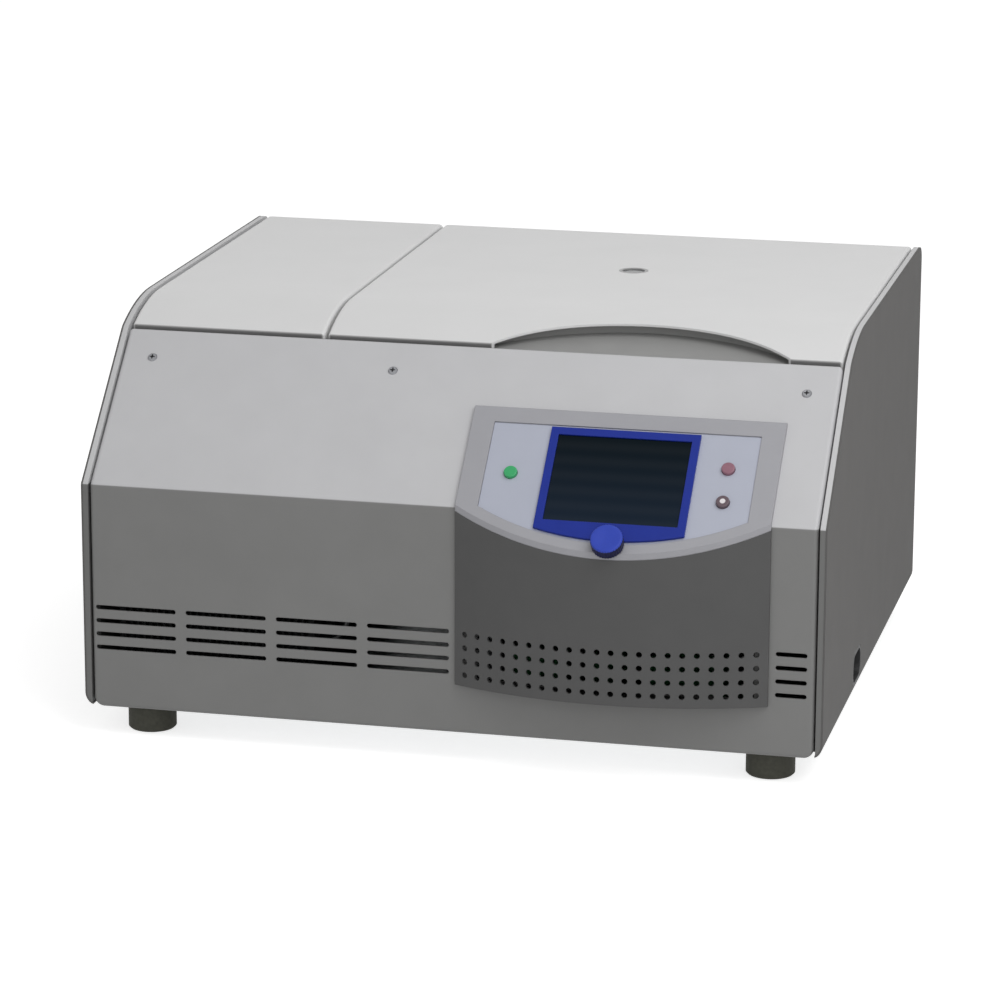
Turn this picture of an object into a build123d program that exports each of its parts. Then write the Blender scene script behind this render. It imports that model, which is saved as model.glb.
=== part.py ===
"""Refrigerated bench centrifuge, built from its separate pieces, in millimetres.

The pieces are modelled from the cabinet's lower front edge: X across with 0 at the middle, Y from the front
face to the rear, Z up from the casing's underside. Each piece is then moved into the part's own frame, whose
origin lies on the floor under the middle of the object's box.
"""

from math import asin, atan2, cos, degrees, hypot, radians, sin, sqrt, tan
import os

from build123d import *

# Cabinet
WIDTH = 630.0
DEPTH = 550.0
FOLD_HEIGHT = 194.0
SLANT_RUN = 118.0
SLANT_TOP = 304.5
LIP_DROP = 2.0
DECK_HEIGHT = 322.5
COVER_RISE_ANGLE = 24.0
COVER_CREST_RADIUS = 175.0
REAR_EDGE_RADIUS = 14.5
SHEET = 1.5
PANEL_GAP = 3.0
TOUCH = 0.2

# Side frame and panels
FRAME_WIDTH = 4.5
FRAME_DEPTH = 14.0
CORNER_RADIUS = 12.0
FRONT_EDGE_RADIUS = 7.0
EDGE_ROUND = 3.5
FRONT_RETURN = 18.0
UNDER_FLANGE = 25.0

# Feet
FOOT_DIAMETER = 41.0
FOOT_HEIGHT = 25.0
FOOT_INSET_X = 48.0
FOOT_INSET_Y = 35.0
SCREW_DIAMETER = 6.0
SCREW_CLEARANCE = 0.2
NUT_RADIUS = 5.5

# Lid and fixed cover
SEAM_X = -135.0
COVER_WALL = 2.0
LID_SKIRT = 32.5
GRIP_CHORD = 263.0
GRIP_DEPTH = 45.0
GRIP_X = 136.0
GRIP_UNDERCUT = 12.0
GRIP_WALL = 2.0
LINER_THICKNESS = 3.0
PORT_DIAMETER = 26.0
PORT_WINDOW_DIAMETER = 20.0

# Chamber
BOWL_RADIUS = 148.0
BOWL_WALL = 1.2
INSULATION = 26.8
TUB_WALL = 1.2
RIM_HEIGHT = 284.0
BOWL_FLOOR = 112.0
TUB_FLOOR = 98.8
SEAL_WIDTH = 12.0
SEAL_HEIGHT = 7.3
SEAL_SQUEEZE_GAP = 0.3
CHAMBER_SIDE_GAP = 56.8
CHAMBER_REAR_GAP = 3.3

# Rotor and buckets
SPINDLE_DIAMETER = 16.0
THREAD_STEP = 3.0
RUNNING_FIT = 0.05
PIVOT_RADIUS = 62.0
PIVOT_HEIGHT = 222.0
HUB_RADIUS = 25.0
HUB_BELOW = 24.0
HUB_ABOVE = 8.0
ARM_WIDTH = 14.0
ARM_REACH = 88.0
TRUNNION_DIAMETER = 8.0
BUCKET_RADIUS = 29.0
BUCKET_WALL = 3.0
BUCKET_DROP = 76.0
BUCKET_RISE = 10.0

# Motor
MOTOR_RADIUS = 55.0
MOTOR_TOP = 96.0
MOTOR_BOTTOM = 12.0
MOTOR_FLANGE_Z = 40.0
DAMPER_COUNT = 3
DAMPER_RADIUS = 13.0

# Hinge and lock
HINGE_PIN_DIAMETER = 8.0
KNUCKLE_RADIUS = 7.5
KNUCKLE_WIDTH = 14.0
HINGE_REACH = 165.0
STRIKER_SPACING = 160.0
HINGE_SIDE_GAP = 0.6
LOCK_PIN_DIAMETER = 7.0
LOCK_PIN_CLEARANCE = 1.1
LOCK_TRAVEL = 8.0
LOCK_REACH_PAST = 5.0

# Control housing
PANEL_X = 138.5
PANEL_HALF = 131.0
BULGE_EDGE = 2.6
BULGE_RISE = 27.4
BULGE_FLOOR = 43.0
BULGE_WALL = 2.5
FRAME_TOP = 99.0
FRAME_PROUD = 4.0
FASCIA_PROUD = 3.0
BEZEL_PROUD = 5.5
SCREEN_PROUD = 4.4
SCREEN_HALF = 55.6
SCREEN_LOW = -9.2
SCREEN_TOP = 73.5
BEZEL_HALF = 62.5
BEZEL_CORNER = -17.5
BEZEL_LOW = -26.0
BEZEL_TOP = 80.7
WINDOW_MARGIN = 19.0
WINDOW_CORNER = 0.5
WINDOW_LOW = -28.5
WINDOW_TOP = 83.5
KNOB_DIAMETER = 27.0
KNOB_HEIGHT = 10.0
KNOB_SEAT = 6.0
KNOB_SLANT = -30.0
KNOB_BORE_DIAMETER = 6.0
BUTTON_RADIUS = 5.6
BUTTON_TRAVEL = 1.5
BUTTON_FLANGE = 1.6
SWITCH_BODY_HEIGHT = 2.4
BUTTON_PROUD = 6.0
BOARD_DEPTH = 8.0
BOARD_THICKNESS = 1.6

# Louvres and perforation
ROW_HEIGHTS = [52.8, 64.4, 76.0, 87.6]
SLOT_HEIGHT = 3.8
SLOT_LENGTH = 70.0
SHORT_SLOT_LENGTH = 26.0
SLOT_PITCH = 78.6
HOLE_COLUMNS = 22
HOLE_PITCH = 11.6
HOLE_DIAMETER = 5.0

# Mains switch and inlet
SWITCH_LENGTH = 46.0
SWITCH_HEIGHT = 30.0
SWITCH_Y = 190.0
SWITCH_Z = 25.0
SWITCH_RECESS = 5.0
ROCKER_TILT = 10.0
INLET_WIDTH = 50.0
INLET_HEIGHT = 27.0
INLET_PROUD = 2.0
INLET_Z = 50.0

# Cooling machine
CONDENSER_WIDTH = 170.0
CONDENSER_HEIGHT = 176.0
CONDENSER_DEPTH = 40.0
CONDENSER_FINS = 28
CONDENSER_LEG = 3.0
FAN_RADIUS = 76.0
FAN_TIP_GAP = 4.0
FAN_BLADES = 7
COMPRESSOR_RADIUS = 66.0
COMPRESSOR_HEIGHT = 140.0
PIPE_DIAMETER = 8.0
PIPE_BEND = 18.0

# Worked out from the sizes above
HALF = WIDTH / 2
SLANT_RISE = SLANT_TOP - FOLD_HEIGHT
SLANT_LENGTH = hypot(SLANT_RUN, SLANT_RISE)
SLANT = Plane(
    origin=(0, 0, FOLD_HEIGHT),
    x_dir=(1, 0, 0),
    z_dir=(0, -SLANT_RISE / SLANT_LENGTH, SLANT_RUN / SLANT_LENGTH),
)
PANEL_EDGE = HALF - SHEET - FRAME_WIDTH - SHEET
LID_EDGE = PANEL_EDGE - 1.0
TUB_RADIUS = BOWL_RADIUS + BOWL_WALL + INSULATION + TUB_WALL
ROTOR_X = HALF - CHAMBER_SIDE_GAP - TUB_RADIUS
ROTOR_Y = DEPTH - SHEET - CHAMBER_REAR_GAP - TUB_RADIUS
DECK_UNDERSIDE = RIM_HEIGHT + BOWL_WALL
DECK_TOP = DECK_UNDERSIDE + SHEET
LINER_UNDERSIDE = DECK_TOP + SEAL_HEIGHT + SEAL_SQUEEZE_GAP
LINER_TOP = LINER_UNDERSIDE + LINER_THICKNESS
SKIRT_Z = DECK_HEIGHT - LID_SKIRT
HINGE_Y = DEPTH - REAR_EDGE_RADIUS
HINGE_Z = DECK_HEIGHT - REAR_EDGE_RADIUS
REAR_SKIRT_Z = HINGE_Z - 7.5
REAR_PANEL_TOP = HINGE_Z - 12.0
COVER_FRONT = SLANT_RUN + PANEL_GAP
TRAY_HALF = HALF - 17.0
TRAY_TOP = 2 * SHEET + 0.5
GRIP_RADIUS = (GRIP_CHORD**2 / 4 + GRIP_DEPTH**2) / (2 * GRIP_DEPTH)
GRIP_CENTRE_Y = SLANT_RUN + GRIP_DEPTH - GRIP_RADIUS
BULGE_RADIUS = (PANEL_HALF**2 + BULGE_RISE**2) / (2 * BULGE_RISE)
BULGE_CENTRE_Y = BULGE_RADIUS - BULGE_RISE - BULGE_EDGE
STRIKER_Y = SLANT_RUN + 32.0
STRIKER_HOLE_Z = DECK_UNDERSIDE - 19.0
LEFT_BAY_X = (-HALF + ROTOR_X - TUB_RADIUS) / 2
FAN_Z = TRAY_TOP + 8.0 + CONDENSER_HEIGHT / 2
CONDENSER_FRONT = 24.0
KNOB_X = PANEL_X + 1.8


def front_reach():
    """How far the knob's rim stands in front of the front face."""
    down_slope = (KNOB_DIAMETER / 2 - KNOB_SLANT) * SLANT_RUN / SLANT_LENGTH
    return down_slope + (KNOB_SEAT + KNOB_HEIGHT) * SLANT_RISE / SLANT_LENGTH


FRONT_Y = -(DEPTH + INLET_PROUD - front_reach()) / 2
TO_PART_FRAME = Pos(0, FRONT_Y, FOOT_HEIGHT)


def block(x0, x1, y0, y1, z0, z1):
    """A box between two corners."""
    return Pos((x0 + x1) / 2, (y0 + y1) / 2, (z0 + z1) / 2) * Box(x1 - x0, y1 - y0, z1 - z0)


def post(x, y, z0, z1, radius):
    """An upright cylinder."""
    return Pos(x, y, (z0 + z1) / 2) * Cylinder(radius, z1 - z0)


def collar(x, y, z0, z1, outer, inner):
    """An upright ring."""
    return post(x, y, z0, z1, outer) - post(x, y, z0 - 1, z1 + 1, inner)


def rod_x(x0, x1, y, z, radius):
    """A cylinder along X."""
    return Pos((x0 + x1) / 2, y, z) * Rot(0, 90, 0) * Cylinder(radius, x1 - x0)


def rod_y(x, y0, y1, z, radius):
    """A cylinder along Y."""
    return Pos(x, (y0 + y1) / 2, z) * Rot(90, 0, 0) * Cylinder(radius, y1 - y0)


def slant_block(x0, x1, s0, s1, h0, h1):
    """A box on the sloping front: s runs up the slope, h stands out from it."""
    at = Pos((x0 + x1) / 2, (s0 + s1) / 2, (h0 + h1) / 2)
    return SLANT.location * at * Box(x1 - x0, s1 - s0, h1 - h0)


def slant_post(x, s, h0, h1, radius):
    """A cylinder square to the sloping front."""
    return SLANT.location * Pos(x, s, (h0 + h1) / 2) * Cylinder(radius, h1 - h0)


def across(outline, x0, x1):
    """An outline drawn in Y and Z, carried across from x0 to x1."""
    return extrude(Plane.YZ.offset(x0) * outline, amount=x1 - x0)


def rounded_loop(points, radii):
    """A closed face with a radius at each corner."""
    return make_face(FilletPolyline(*points, radius=radii, close=True))


def rounded_slab(x0, x1, y0, y1, z0, z1, radius, plane="XY"):
    """A slab with four rounded corners, flat in XY, XZ or YZ."""
    sizes = {"XY": (x1 - x0, y1 - y0), "XZ": (x1 - x0, z1 - z0), "YZ": (y1 - y0, z1 - z0)}
    width, height = sizes[plane]
    shape = RectangleRounded(width, height, radius)
    if plane == "XY":
        return extrude(Pos((x0 + x1) / 2, (y0 + y1) / 2, z0) * shape, amount=z1 - z0)
    if plane == "XZ":
        face = Plane(origin=((x0 + x1) / 2, y0, (z0 + z1) / 2), x_dir=(-1, 0, 0), z_dir=(0, 1, 0)) * shape
        return extrude(face, amount=y1 - y0)
    face = Plane(origin=(x0, (y0 + y1) / 2, (z0 + z1) / 2), x_dir=(0, 1, 0), z_dir=(1, 0, 0)) * shape
    return extrude(face, amount=x1 - x0)


def crest_y(inset=0.0):
    """Where the cover's rising line would meet its flat top, both lowered by the inset."""
    rise = tan(radians(COVER_RISE_ANGLE))
    lowered = SLANT_TOP - inset / cos(radians(COVER_RISE_ANGLE))
    return SLANT_RUN + (DECK_HEIGHT - inset - lowered) / rise


def rising_line(y, inset=0.0):
    """Height of the cover's rising front line at y."""
    rise = tan(radians(COVER_RISE_ANGLE))
    return SLANT_TOP - inset / cos(radians(COVER_RISE_ANGLE)) + (y - SLANT_RUN) * rise


def side_outline():
    """The cabinet seen from the side."""
    points = [
        (0, 0),
        (0, FOLD_HEIGHT),
        (SLANT_RUN, SLANT_TOP),
        (crest_y(), DECK_HEIGHT),
        (DEPTH, DECK_HEIGHT),
        (DEPTH, 0),
    ]
    return rounded_loop(points, [4, 4, 20, COVER_CREST_RADIUS, REAR_EDGE_RADIUS, 3])


def cabinet_core(inset):
    """The cabinet's cross-section with its rounded lower corners, carried from front to rear."""
    half = HALF - inset
    radius = CORNER_RADIUS - inset
    points = [(-half, inset), (half, inset), (half, DECK_HEIGHT + 10), (-half, DECK_HEIGHT + 10)]
    face = rounded_loop(points, [radius, radius, 0, 0])
    return extrude(Plane(origin=(0, -1, 0), x_dir=(1, 0, 0), z_dir=(0, -1, 0)) * face, amount=-DEPTH - 2)


def cover_block(x0, x1, inset, bottom, front=COVER_FRONT):
    """The body under the cover's skin, lowered and drawn in by the inset."""
    y0 = front + inset
    points = [
        (y0, bottom),
        (y0, rising_line(y0, inset)),
        (crest_y(inset), DECK_HEIGHT - inset),
        (DEPTH - inset, DECK_HEIGHT - inset),
        (DEPTH - inset, bottom),
    ]
    edge = max(3.0 - inset, 0.8)
    radii = [0, edge, COVER_CREST_RADIUS - inset, REAR_EDGE_RADIUS - inset, 0]
    solid = across(rounded_loop(points, radii), x0 + inset, x1 - inset)
    by_x = solid.faces().sort_by(Axis.X)
    ends = by_x[0].edges() + by_x[-1].edges()
    return fillet([e for e in ends if e.bounding_box().max.Z > bottom + 1], edge)


def front_block(inset):
    """The body behind the folded front sheet, drawn in by the inset."""
    back = FRONT_RETURN if inset == 0 else FRONT_RETURN + 1
    tilt = atan2(SLANT_RUN, SLANT_RISE)
    fold_drop = inset * tan(tilt / 2)
    lip = SLANT_RUN - LIP_DROP - inset
    lip_z = FOLD_HEIGHT + lip * SLANT_RISE / SLANT_RUN - inset / sin(tilt)
    points = [
        (inset, inset),
        (inset, FOLD_HEIGHT - fold_drop),
        (lip, lip_z),
        (lip, SLANT_TOP - FRONT_RETURN - (0 if inset == 0 else 6)),
        (back, FOLD_HEIGHT - back),
        (back, inset),
    ]
    solid = across(rounded_loop(points, [0, 4 - inset, 0, 0, 0, 0]), -PANEL_EDGE + inset, PANEL_EDGE - inset)
    low = [
        e
        for e in solid.edges().filter_by(Axis.Y)
        if abs(e.center().Z - inset) < 0.1 and abs(abs(e.center().X) - PANEL_EDGE + inset) < 0.1
    ]
    solid = fillet(low, FRONT_EDGE_RADIUS + 1.5 - inset)
    rim = []
    near_side = PANEL_EDGE - inset - FRONT_EDGE_RADIUS - 3
    for face in solid.faces():
        centre = face.center()
        facing = face.normal_at()
        on_front = abs(centre.Y - inset) < 0.01
        on_slant = facing.Z > 0.3 and facing.Y < -0.3
        on_fold = face.geom_type == GeomType.CYLINDER and 0 < centre.Y < 3 and abs(centre.X) < 1
        if on_front or on_slant or on_fold:
            rim += [e for e in face.edges() if abs(e.center().X) > near_side]
    bottom_edge = [
        e
        for e in solid.edges().filter_by(Axis.X)
        if abs(e.center().Y - inset) < 0.1 and abs(e.center().Z - inset) < 0.1
    ]
    chain = [e for e in rim if e.bounding_box().size.X < FRONT_EDGE_RADIUS + 3] + bottom_edge
    return fillet(ShapeList(set(chain)), EDGE_ROUND - inset)


def slot_row(x_centre, z, length, y0, y1):
    """One rounded louvre slot through a wall that faces front or rear."""
    return rounded_slab(x_centre - length / 2, x_centre + length / 2, y0, y1,
                        z - SLOT_HEIGHT / 2, z + SLOT_HEIGHT / 2, SLOT_HEIGHT / 2 - 0.01, "XZ")


def screw_places():
    """The three screws on the sloping front, as X and distance up the slope."""
    up = SLANT_LENGTH - 31.0
    return [(-HALF + 34.0, up), (-70.0, up), (HALF - 34.0, up)]


def front_panel():
    """Folded sheet with returns round its edge, louvres, and the opening behind the control housing."""
    panel = front_block(0) - front_block(SHEET)
    cuts = []
    left_column = -HALF + 46.0
    right_column = HALF - 27.0
    for row in ROW_HEIGHTS:
        for column in range(4):
            cuts.append(slot_row(left_column + column * SLOT_PITCH, row, SLOT_LENGTH, -5, FRONT_RETURN / 2))
        cuts.append(slot_row(right_column, row, SHORT_SLOT_LENGTH, -5, FRONT_RETURN / 2))
    inner = PANEL_HALF - 12.0
    cuts.append(block(PANEL_X - inner, PANEL_X + inner, -5, 12, BULGE_FLOOR + 5, FOLD_HEIGHT - 4))
    cuts.append(slant_block(PANEL_X - 103.5, PANEL_X + 103.5, -8, 81, -8, 8))
    for x, s in screw_places():
        cuts.append(slant_post(x, s, -8, 8, 2.2))
    return panel - cuts


def panel_screws():
    """Countersunk screws that hold the sloping front to its inner flange."""
    screws = []
    for x, s in screw_places():
        head = SLANT.location * Pos(x, s, 0.7) * Cone(4.2, 3.2, 1.4)
        shank = slant_post(x, s, -9, 0, 2.0)
        drive = SLANT.location * Pos(x, s, 1.0) * extrude(RegularPolygon(1.5, 6), amount=1)
        screws.append(head + shank - drive)
    return screws


def side_frames():
    """The light edge frame inside each side panel, following the cabinet's outline."""
    outline = side_outline()
    inner = offset(outline, amount=-FRAME_DEPTH, kind=Kind.INTERSECTION)
    frames = []
    for x0 in (-HALF + SHEET, HALF - SHEET - FRAME_WIDTH):
        plate = across(outline, x0, x0 + FRAME_WIDTH) - across(inner, x0 - 1, x0 + FRAME_WIDTH + 1)
        plate = plate & cabinet_core(SHEET)
        if x0 > 0:
            plate -= switch_pocket(0.5, x0 - 1, HALF + 1)
        frames.append(plate.solids().sort_by(SortBy.VOLUME)[-1])
    return frames


def side_panel(sign):
    """A dark side panel that turns under the cabinet, with the switch opening on the right."""
    skin = (cabinet_core(0) - cabinet_core(SHEET)) & across(side_outline(), -HALF, HALF)
    keep = block(HALF - UNDER_FLANGE, HALF + 1, -1, DEPTH + 1, -1, DECK_HEIGHT + 5)
    clear_front = block(0, PANEL_EDGE + 1, -2, FRONT_RETURN + 2, -1, CORNER_RADIUS)
    clear_rear = block(0, PANEL_EDGE + 1, DEPTH - SHEET - 0.2, DEPTH + 2, -1, CORNER_RADIUS)
    panel = (skin & keep) - clear_front - clear_rear
    if sign < 0:
        return mirror(panel, about=Plane.YZ)
    return panel - switch_pocket(0.15, HALF - 5, HALF + 1)


def base_tray():
    """Folded base tray with upturned sides, holes for the foot screws and cooling slots."""
    plate = block(-TRAY_HALF, TRAY_HALF, 8, DEPTH - SHEET, SHEET, TRAY_TOP)
    for sign in (-1, 1):
        wall = sorted((sign * TRAY_HALF, sign * (TRAY_HALF - SHEET)))
        plate += block(wall[0], wall[1], FRONT_RETURN + 3, DEPTH - SHEET, SHEET, 28)
    for x, y in foot_places():
        plate -= post(x, y, -1, 10, SCREW_DIAMETER / 2 + SCREW_CLEARANCE)
    for column in range(4):
        plate -= rounded_slab(
            LEFT_BAY_X - 40, LEFT_BAY_X + 40, 160 + column * 14, 164 + column * 14, 0, 10, 1.9
        )
    return plate - switch_pocket(0.5, TRAY_HALF - 5, HALF)


def foot_places():
    """The four foot centres."""
    x, y = HALF - FOOT_INSET_X, FOOT_INSET_Y
    return [(-x, y), (x, y), (-x, DEPTH - y), (x, DEPTH - y)]


def feet():
    """Rubber feet with a chamfered sole and a counterbore for the screw."""
    made = []
    for x, y in foot_places():
        foot = post(x, y, -FOOT_HEIGHT, 0, FOOT_DIAMETER / 2)
        foot = chamfer(foot.edges().group_by(Axis.Z)[0], 1.5)
        foot += post(x, y, -1, SHEET, 12)
        foot -= post(x, y, -FOOT_HEIGHT - 1, -FOOT_HEIGHT + 12, 8)
        foot -= post(x, y, -FOOT_HEIGHT, 5, SCREW_DIAMETER / 2 + SCREW_CLEARANCE)
        made.append(foot)
    return made


def foot_screws():
    """Foot screws with their heads up in the counterbores and a nut on the tray."""
    made = []
    for x, y in foot_places():
        head_z = -FOOT_HEIGHT + 12
        head = post(x, y, head_z - 4, head_z, NUT_RADIUS)
        shank = post(x, y, head_z - 1, TRAY_TOP + 7, SCREW_DIAMETER / 2)
        nut = extrude(Pos(x, y, TRAY_TOP) * RegularPolygon(NUT_RADIUS, 6), amount=5)
        made.append(head + shank + nut)
    return made


def rear_panel():
    """Flat rear panel with louvres and the opening for the mains inlet."""
    panel = rounded_slab(-PANEL_EDGE, PANEL_EDGE, DEPTH - SHEET, DEPTH, SHEET, REAR_PANEL_TOP, 6, "XZ")
    cuts = []
    for row in range(10):
        for column in range(2):
            x = LEFT_BAY_X - SLOT_PITCH / 2 + column * SLOT_PITCH
            cuts.append(slot_row(x, 60 + row * 14.0, SLOT_LENGTH, DEPTH - 5, DEPTH + 5))
    for row in range(5):
        cuts.append(slot_row(ROTOR_X, 40 + row * 14.0, SLOT_LENGTH, DEPTH - 5, DEPTH + 5))
    body = inlet_body_box(TOUCH)
    cuts.append(block(body[0], body[1], DEPTH - 5, DEPTH + 5, body[2], body[3]))
    return panel - cuts


def inlet_body_box(clearance=0.0):
    """X and Z limits of the inlet's body behind its flange."""
    x = HALF - 85.0
    half_w = INLET_WIDTH / 2 - 10 + clearance
    half_h = INLET_HEIGHT / 2 - 3 + clearance
    return x - half_w, x + half_w, INLET_Z - half_h, INLET_Z + half_h


def mains_inlet():
    """Appliance inlet: flange outside the rear panel, recessed socket with three flat pins."""
    x0, x1, z0, z1 = inlet_body_box()
    x = (x0 + x1) / 2
    flange = rounded_slab(x - INLET_WIDTH / 2, x + INLET_WIDTH / 2, DEPTH, DEPTH + INLET_PROUD,
                          INLET_Z - INLET_HEIGHT / 2, INLET_Z + INLET_HEIGHT / 2, 4, "XZ")
    body = flange + block(x0, x1, DEPTH - 22, DEPTH + 0.5, z0, z1)
    body -= rounded_slab(x0 + 2.5, x1 - 2.5, DEPTH - 16, DEPTH + 5, z0 + 2.2, z1 - 2.2, 3, "XZ")
    for dx, dz in ((-7, -2), (0, 2), (7, -2)):
        body += block(x + dx - 1, x + dx + 1, DEPTH - 18, DEPTH - 6, INLET_Z + dz - 2, INLET_Z + dz + 2)
    return body


def switch_pocket(clearance, x0, x1):
    """The space that the mains switch takes in the right side."""
    half_l, half_h = SWITCH_LENGTH / 2 + clearance, SWITCH_HEIGHT / 2 + clearance
    return rounded_slab(x0, x1, SWITCH_Y - half_l, SWITCH_Y + half_l,
                        SWITCH_Z - half_h, SWITCH_Z + half_h, 11, "YZ")


def mains_switch_housing():
    """Recessed black surround of the mains switch, with a box behind it for the rocker."""
    outer = switch_pocket(0, HALF - 24, HALF - 0.1)
    dish = rounded_slab(HALF - SWITCH_RECESS, HALF + 1, SWITCH_Y - 20, SWITCH_Y + 20, SWITCH_Z - 12,
                        SWITCH_Z + 12, 9, "YZ")
    well = block(HALF - 20, HALF, SWITCH_Y - 13.3, SWITCH_Y + 13.3, SWITCH_Z - 7.3, SWITCH_Z + 7.3)
    return outer - dish - well


def mains_rocker():
    """Rocker that tips about an upright axis, at rest on its off side."""
    pivot_x = HALF - SWITCH_RECESS - 4
    body = rounded_slab(-5, 3, -12, 12, -6.8, 6.8, 2, "YZ")
    body -= Pos(9, 0, 0) * Cylinder(8, 20)
    rocker = body.solids().sort_by(SortBy.VOLUME)[-1]
    return Pos(pivot_x, SWITCH_Y, SWITCH_Z) * Rot(0, 0, ROCKER_TILT) * rocker


def top_cover_left():
    """Fixed cover over the cooling machine, beside the lid."""
    x0, x1 = -LID_EDGE, SEAM_X - PANEL_GAP / 2
    cover = cover_block(x0, x1, 0, DECK_TOP) - cover_block(x0, x1, SHEET, DECK_TOP - 5)
    return cover - block(x0 - 1, x1 + 1, DEPTH - 20, DEPTH + 1, DECK_TOP - 1, REAR_SKIRT_Z)


def lid_limits():
    """The lid's left and right edges."""
    return SEAM_X + PANEL_GAP / 2, LID_EDGE


def grip_disc(extra, z0, z1):
    """Upright disc whose arc outlines the grip recess."""
    return post(GRIP_X, GRIP_CENTRE_Y, z0, z1, GRIP_RADIUS + extra)


def lid_shell():
    """Lid skin with its skirts, the arc cut for the grip and the hole for the port."""
    x0, x1 = lid_limits()
    lid = cover_block(x0, x1, 0, SKIRT_Z) - cover_block(x0, x1, COVER_WALL, SKIRT_Z - 5)
    lid -= block(x0 - 1, x1 + 1, DEPTH - 45, DEPTH + 1, SKIRT_Z - 1, REAR_SKIRT_Z)
    lid -= grip_disc(0, SKIRT_Z - 1, DECK_HEIGHT + 5)
    lid -= post(ROTOR_X, ROTOR_Y, SKIRT_Z, DECK_HEIGHT + 5, PORT_DIAMETER / 2 + TOUCH)
    return lid.solids().sort_by(SortBy.VOLUME)[-1]


def grip_floor(drop):
    """Everything above the grip's sloping floor, lowered by the drop."""
    y0 = COVER_FRONT
    rear = y0 + 80
    z0 = LINER_TOP + 2.0 - drop
    face = rounded_loop([(y0 - 20, z0 - 4), (y0 - 20, 400), (rear, 400), (rear, z0 + 16)], [0, 0, 0, 0])
    return across(face, -HALF, HALF)


def lid_grip():
    """Grey finger tray under the arc in the lid's front edge."""
    x0, x1 = lid_limits()
    wall = COVER_WALL + TOUCH
    lip = cover_block(x0, x1, wall, LINER_TOP, COVER_FRONT - COVER_WALL)
    lip = lip & grip_disc(-TOUCH, LINER_TOP - 1, DECK_HEIGHT + 5)
    outer = cover_block(x0, x1, wall, LINER_TOP) & grip_disc(GRIP_UNDERCUT, LINER_TOP - 1, DECK_HEIGHT + 5)
    outer += lip
    pocket = grip_disc(GRIP_UNDERCUT - GRIP_WALL, LINER_TOP - 1, DECK_HEIGHT + 5)
    tray = outer - (pocket & grip_floor(0))
    tray -= (pocket - grip_floor(2.5)) & block(x0, x1, COVER_FRONT + 4, DEPTH, LINER_TOP - 2, DECK_HEIGHT)
    return tray.solids().sort_by(SortBy.VOLUME)[-1]


def hinge_places():
    """The X centres of the two hinges."""
    return [ROTOR_X - HINGE_REACH, ROTOR_X + HINGE_REACH]


def liner_outline(inset, z0, z1):
    """Lid liner plan: a plate in front and a disc over the chamber rim."""
    x0, x1 = lid_limits()
    wall = COVER_WALL + TOUCH + 0.3 + inset
    plate = block(x0 + wall, x1 - wall, COVER_FRONT + wall, HINGE_Y - 32 - inset, z0, z1)
    disc = post(ROTOR_X, ROTOR_Y, z0, z1, BOWL_RADIUS + 4 + SEAL_WIDTH + 4 - inset)
    return plate + disc


def lid_liner():
    """Moulded inner lid panel that closes on the chamber seal."""
    liner = liner_outline(0, LINER_UNDERSIDE, LINER_TOP)
    port_radius = PORT_WINDOW_DIAMETER / 2 + TOUCH
    return liner - post(ROTOR_X, ROTOR_Y, LINER_UNDERSIDE - 1, LINER_TOP + 1, port_radius)


def lid_foam():
    """Insulating foam between the liner and the lid's skin."""
    x0, x1 = lid_limits()
    foam = cover_block(x0, x1, COVER_WALL + TOUCH, LINER_TOP) & liner_outline(6, LINER_TOP, DECK_HEIGHT)
    foam -= grip_disc(GRIP_UNDERCUT + TOUCH, LINER_TOP - 1, DECK_HEIGHT + 5)
    foam -= post(ROTOR_X, ROTOR_Y, LINER_TOP - 1, DECK_HEIGHT + 5, PORT_DIAMETER / 2 + TOUCH)
    return foam.solids().sort_by(SortBy.VOLUME)[-1]


def port_window():
    """Clear plug through the lid, over the rotor."""
    return post(ROTOR_X, ROTOR_Y, LINER_UNDERSIDE, DECK_HEIGHT - 1, PORT_WINDOW_DIAMETER / 2)


def port_ring():
    """Ring round the viewing port."""
    return collar(ROTOR_X, ROTOR_Y, DECK_HEIGHT - 12, DECK_HEIGHT, PORT_DIAMETER / 2,
                  PORT_WINDOW_DIAMETER / 2 + 0.1)


def hinge_brackets():
    """Fixed hinge halves on the deck, each with one knuckle that holds the pin."""
    made = []
    for x in hinge_places():
        half = KNUCKLE_WIDTH / 2
        lean = [
            (HINGE_Y, HINGE_Z - 5),
            (HINGE_Y - 5, HINGE_Z),
            (HINGE_Y - 24, DECK_TOP + 4),
            (HINGE_Y - 50, DECK_TOP + 4),
            (HINGE_Y - 50, DECK_TOP),
            (HINGE_Y - 17, DECK_TOP),
        ]
        arm = across(make_face(Polyline(*lean, close=True)), x - half, x + half)
        knuckle = rod_x(x - half, x + half, HINGE_Y, HINGE_Z, KNUCKLE_RADIUS)
        foot = block(x - half - 14, x + half + 14, HINGE_Y - 50, HINGE_Y - 28, DECK_TOP, DECK_TOP + 4)
        made.append(arm + knuckle + foot - rod_x(x - 30, x + 30, HINGE_Y, HINGE_Z, HINGE_PIN_DIAMETER / 2))
    return made


def hinge_pins():
    """Hinge pins, tight in the fixed knuckles and free in the lid's leaves."""
    reach = KNUCKLE_WIDTH * 1.5 + 1
    return [rod_x(x - reach, x + reach, HINGE_Y, HINGE_Z, HINGE_PIN_DIAMETER / 2) for x in hinge_places()]


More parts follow.
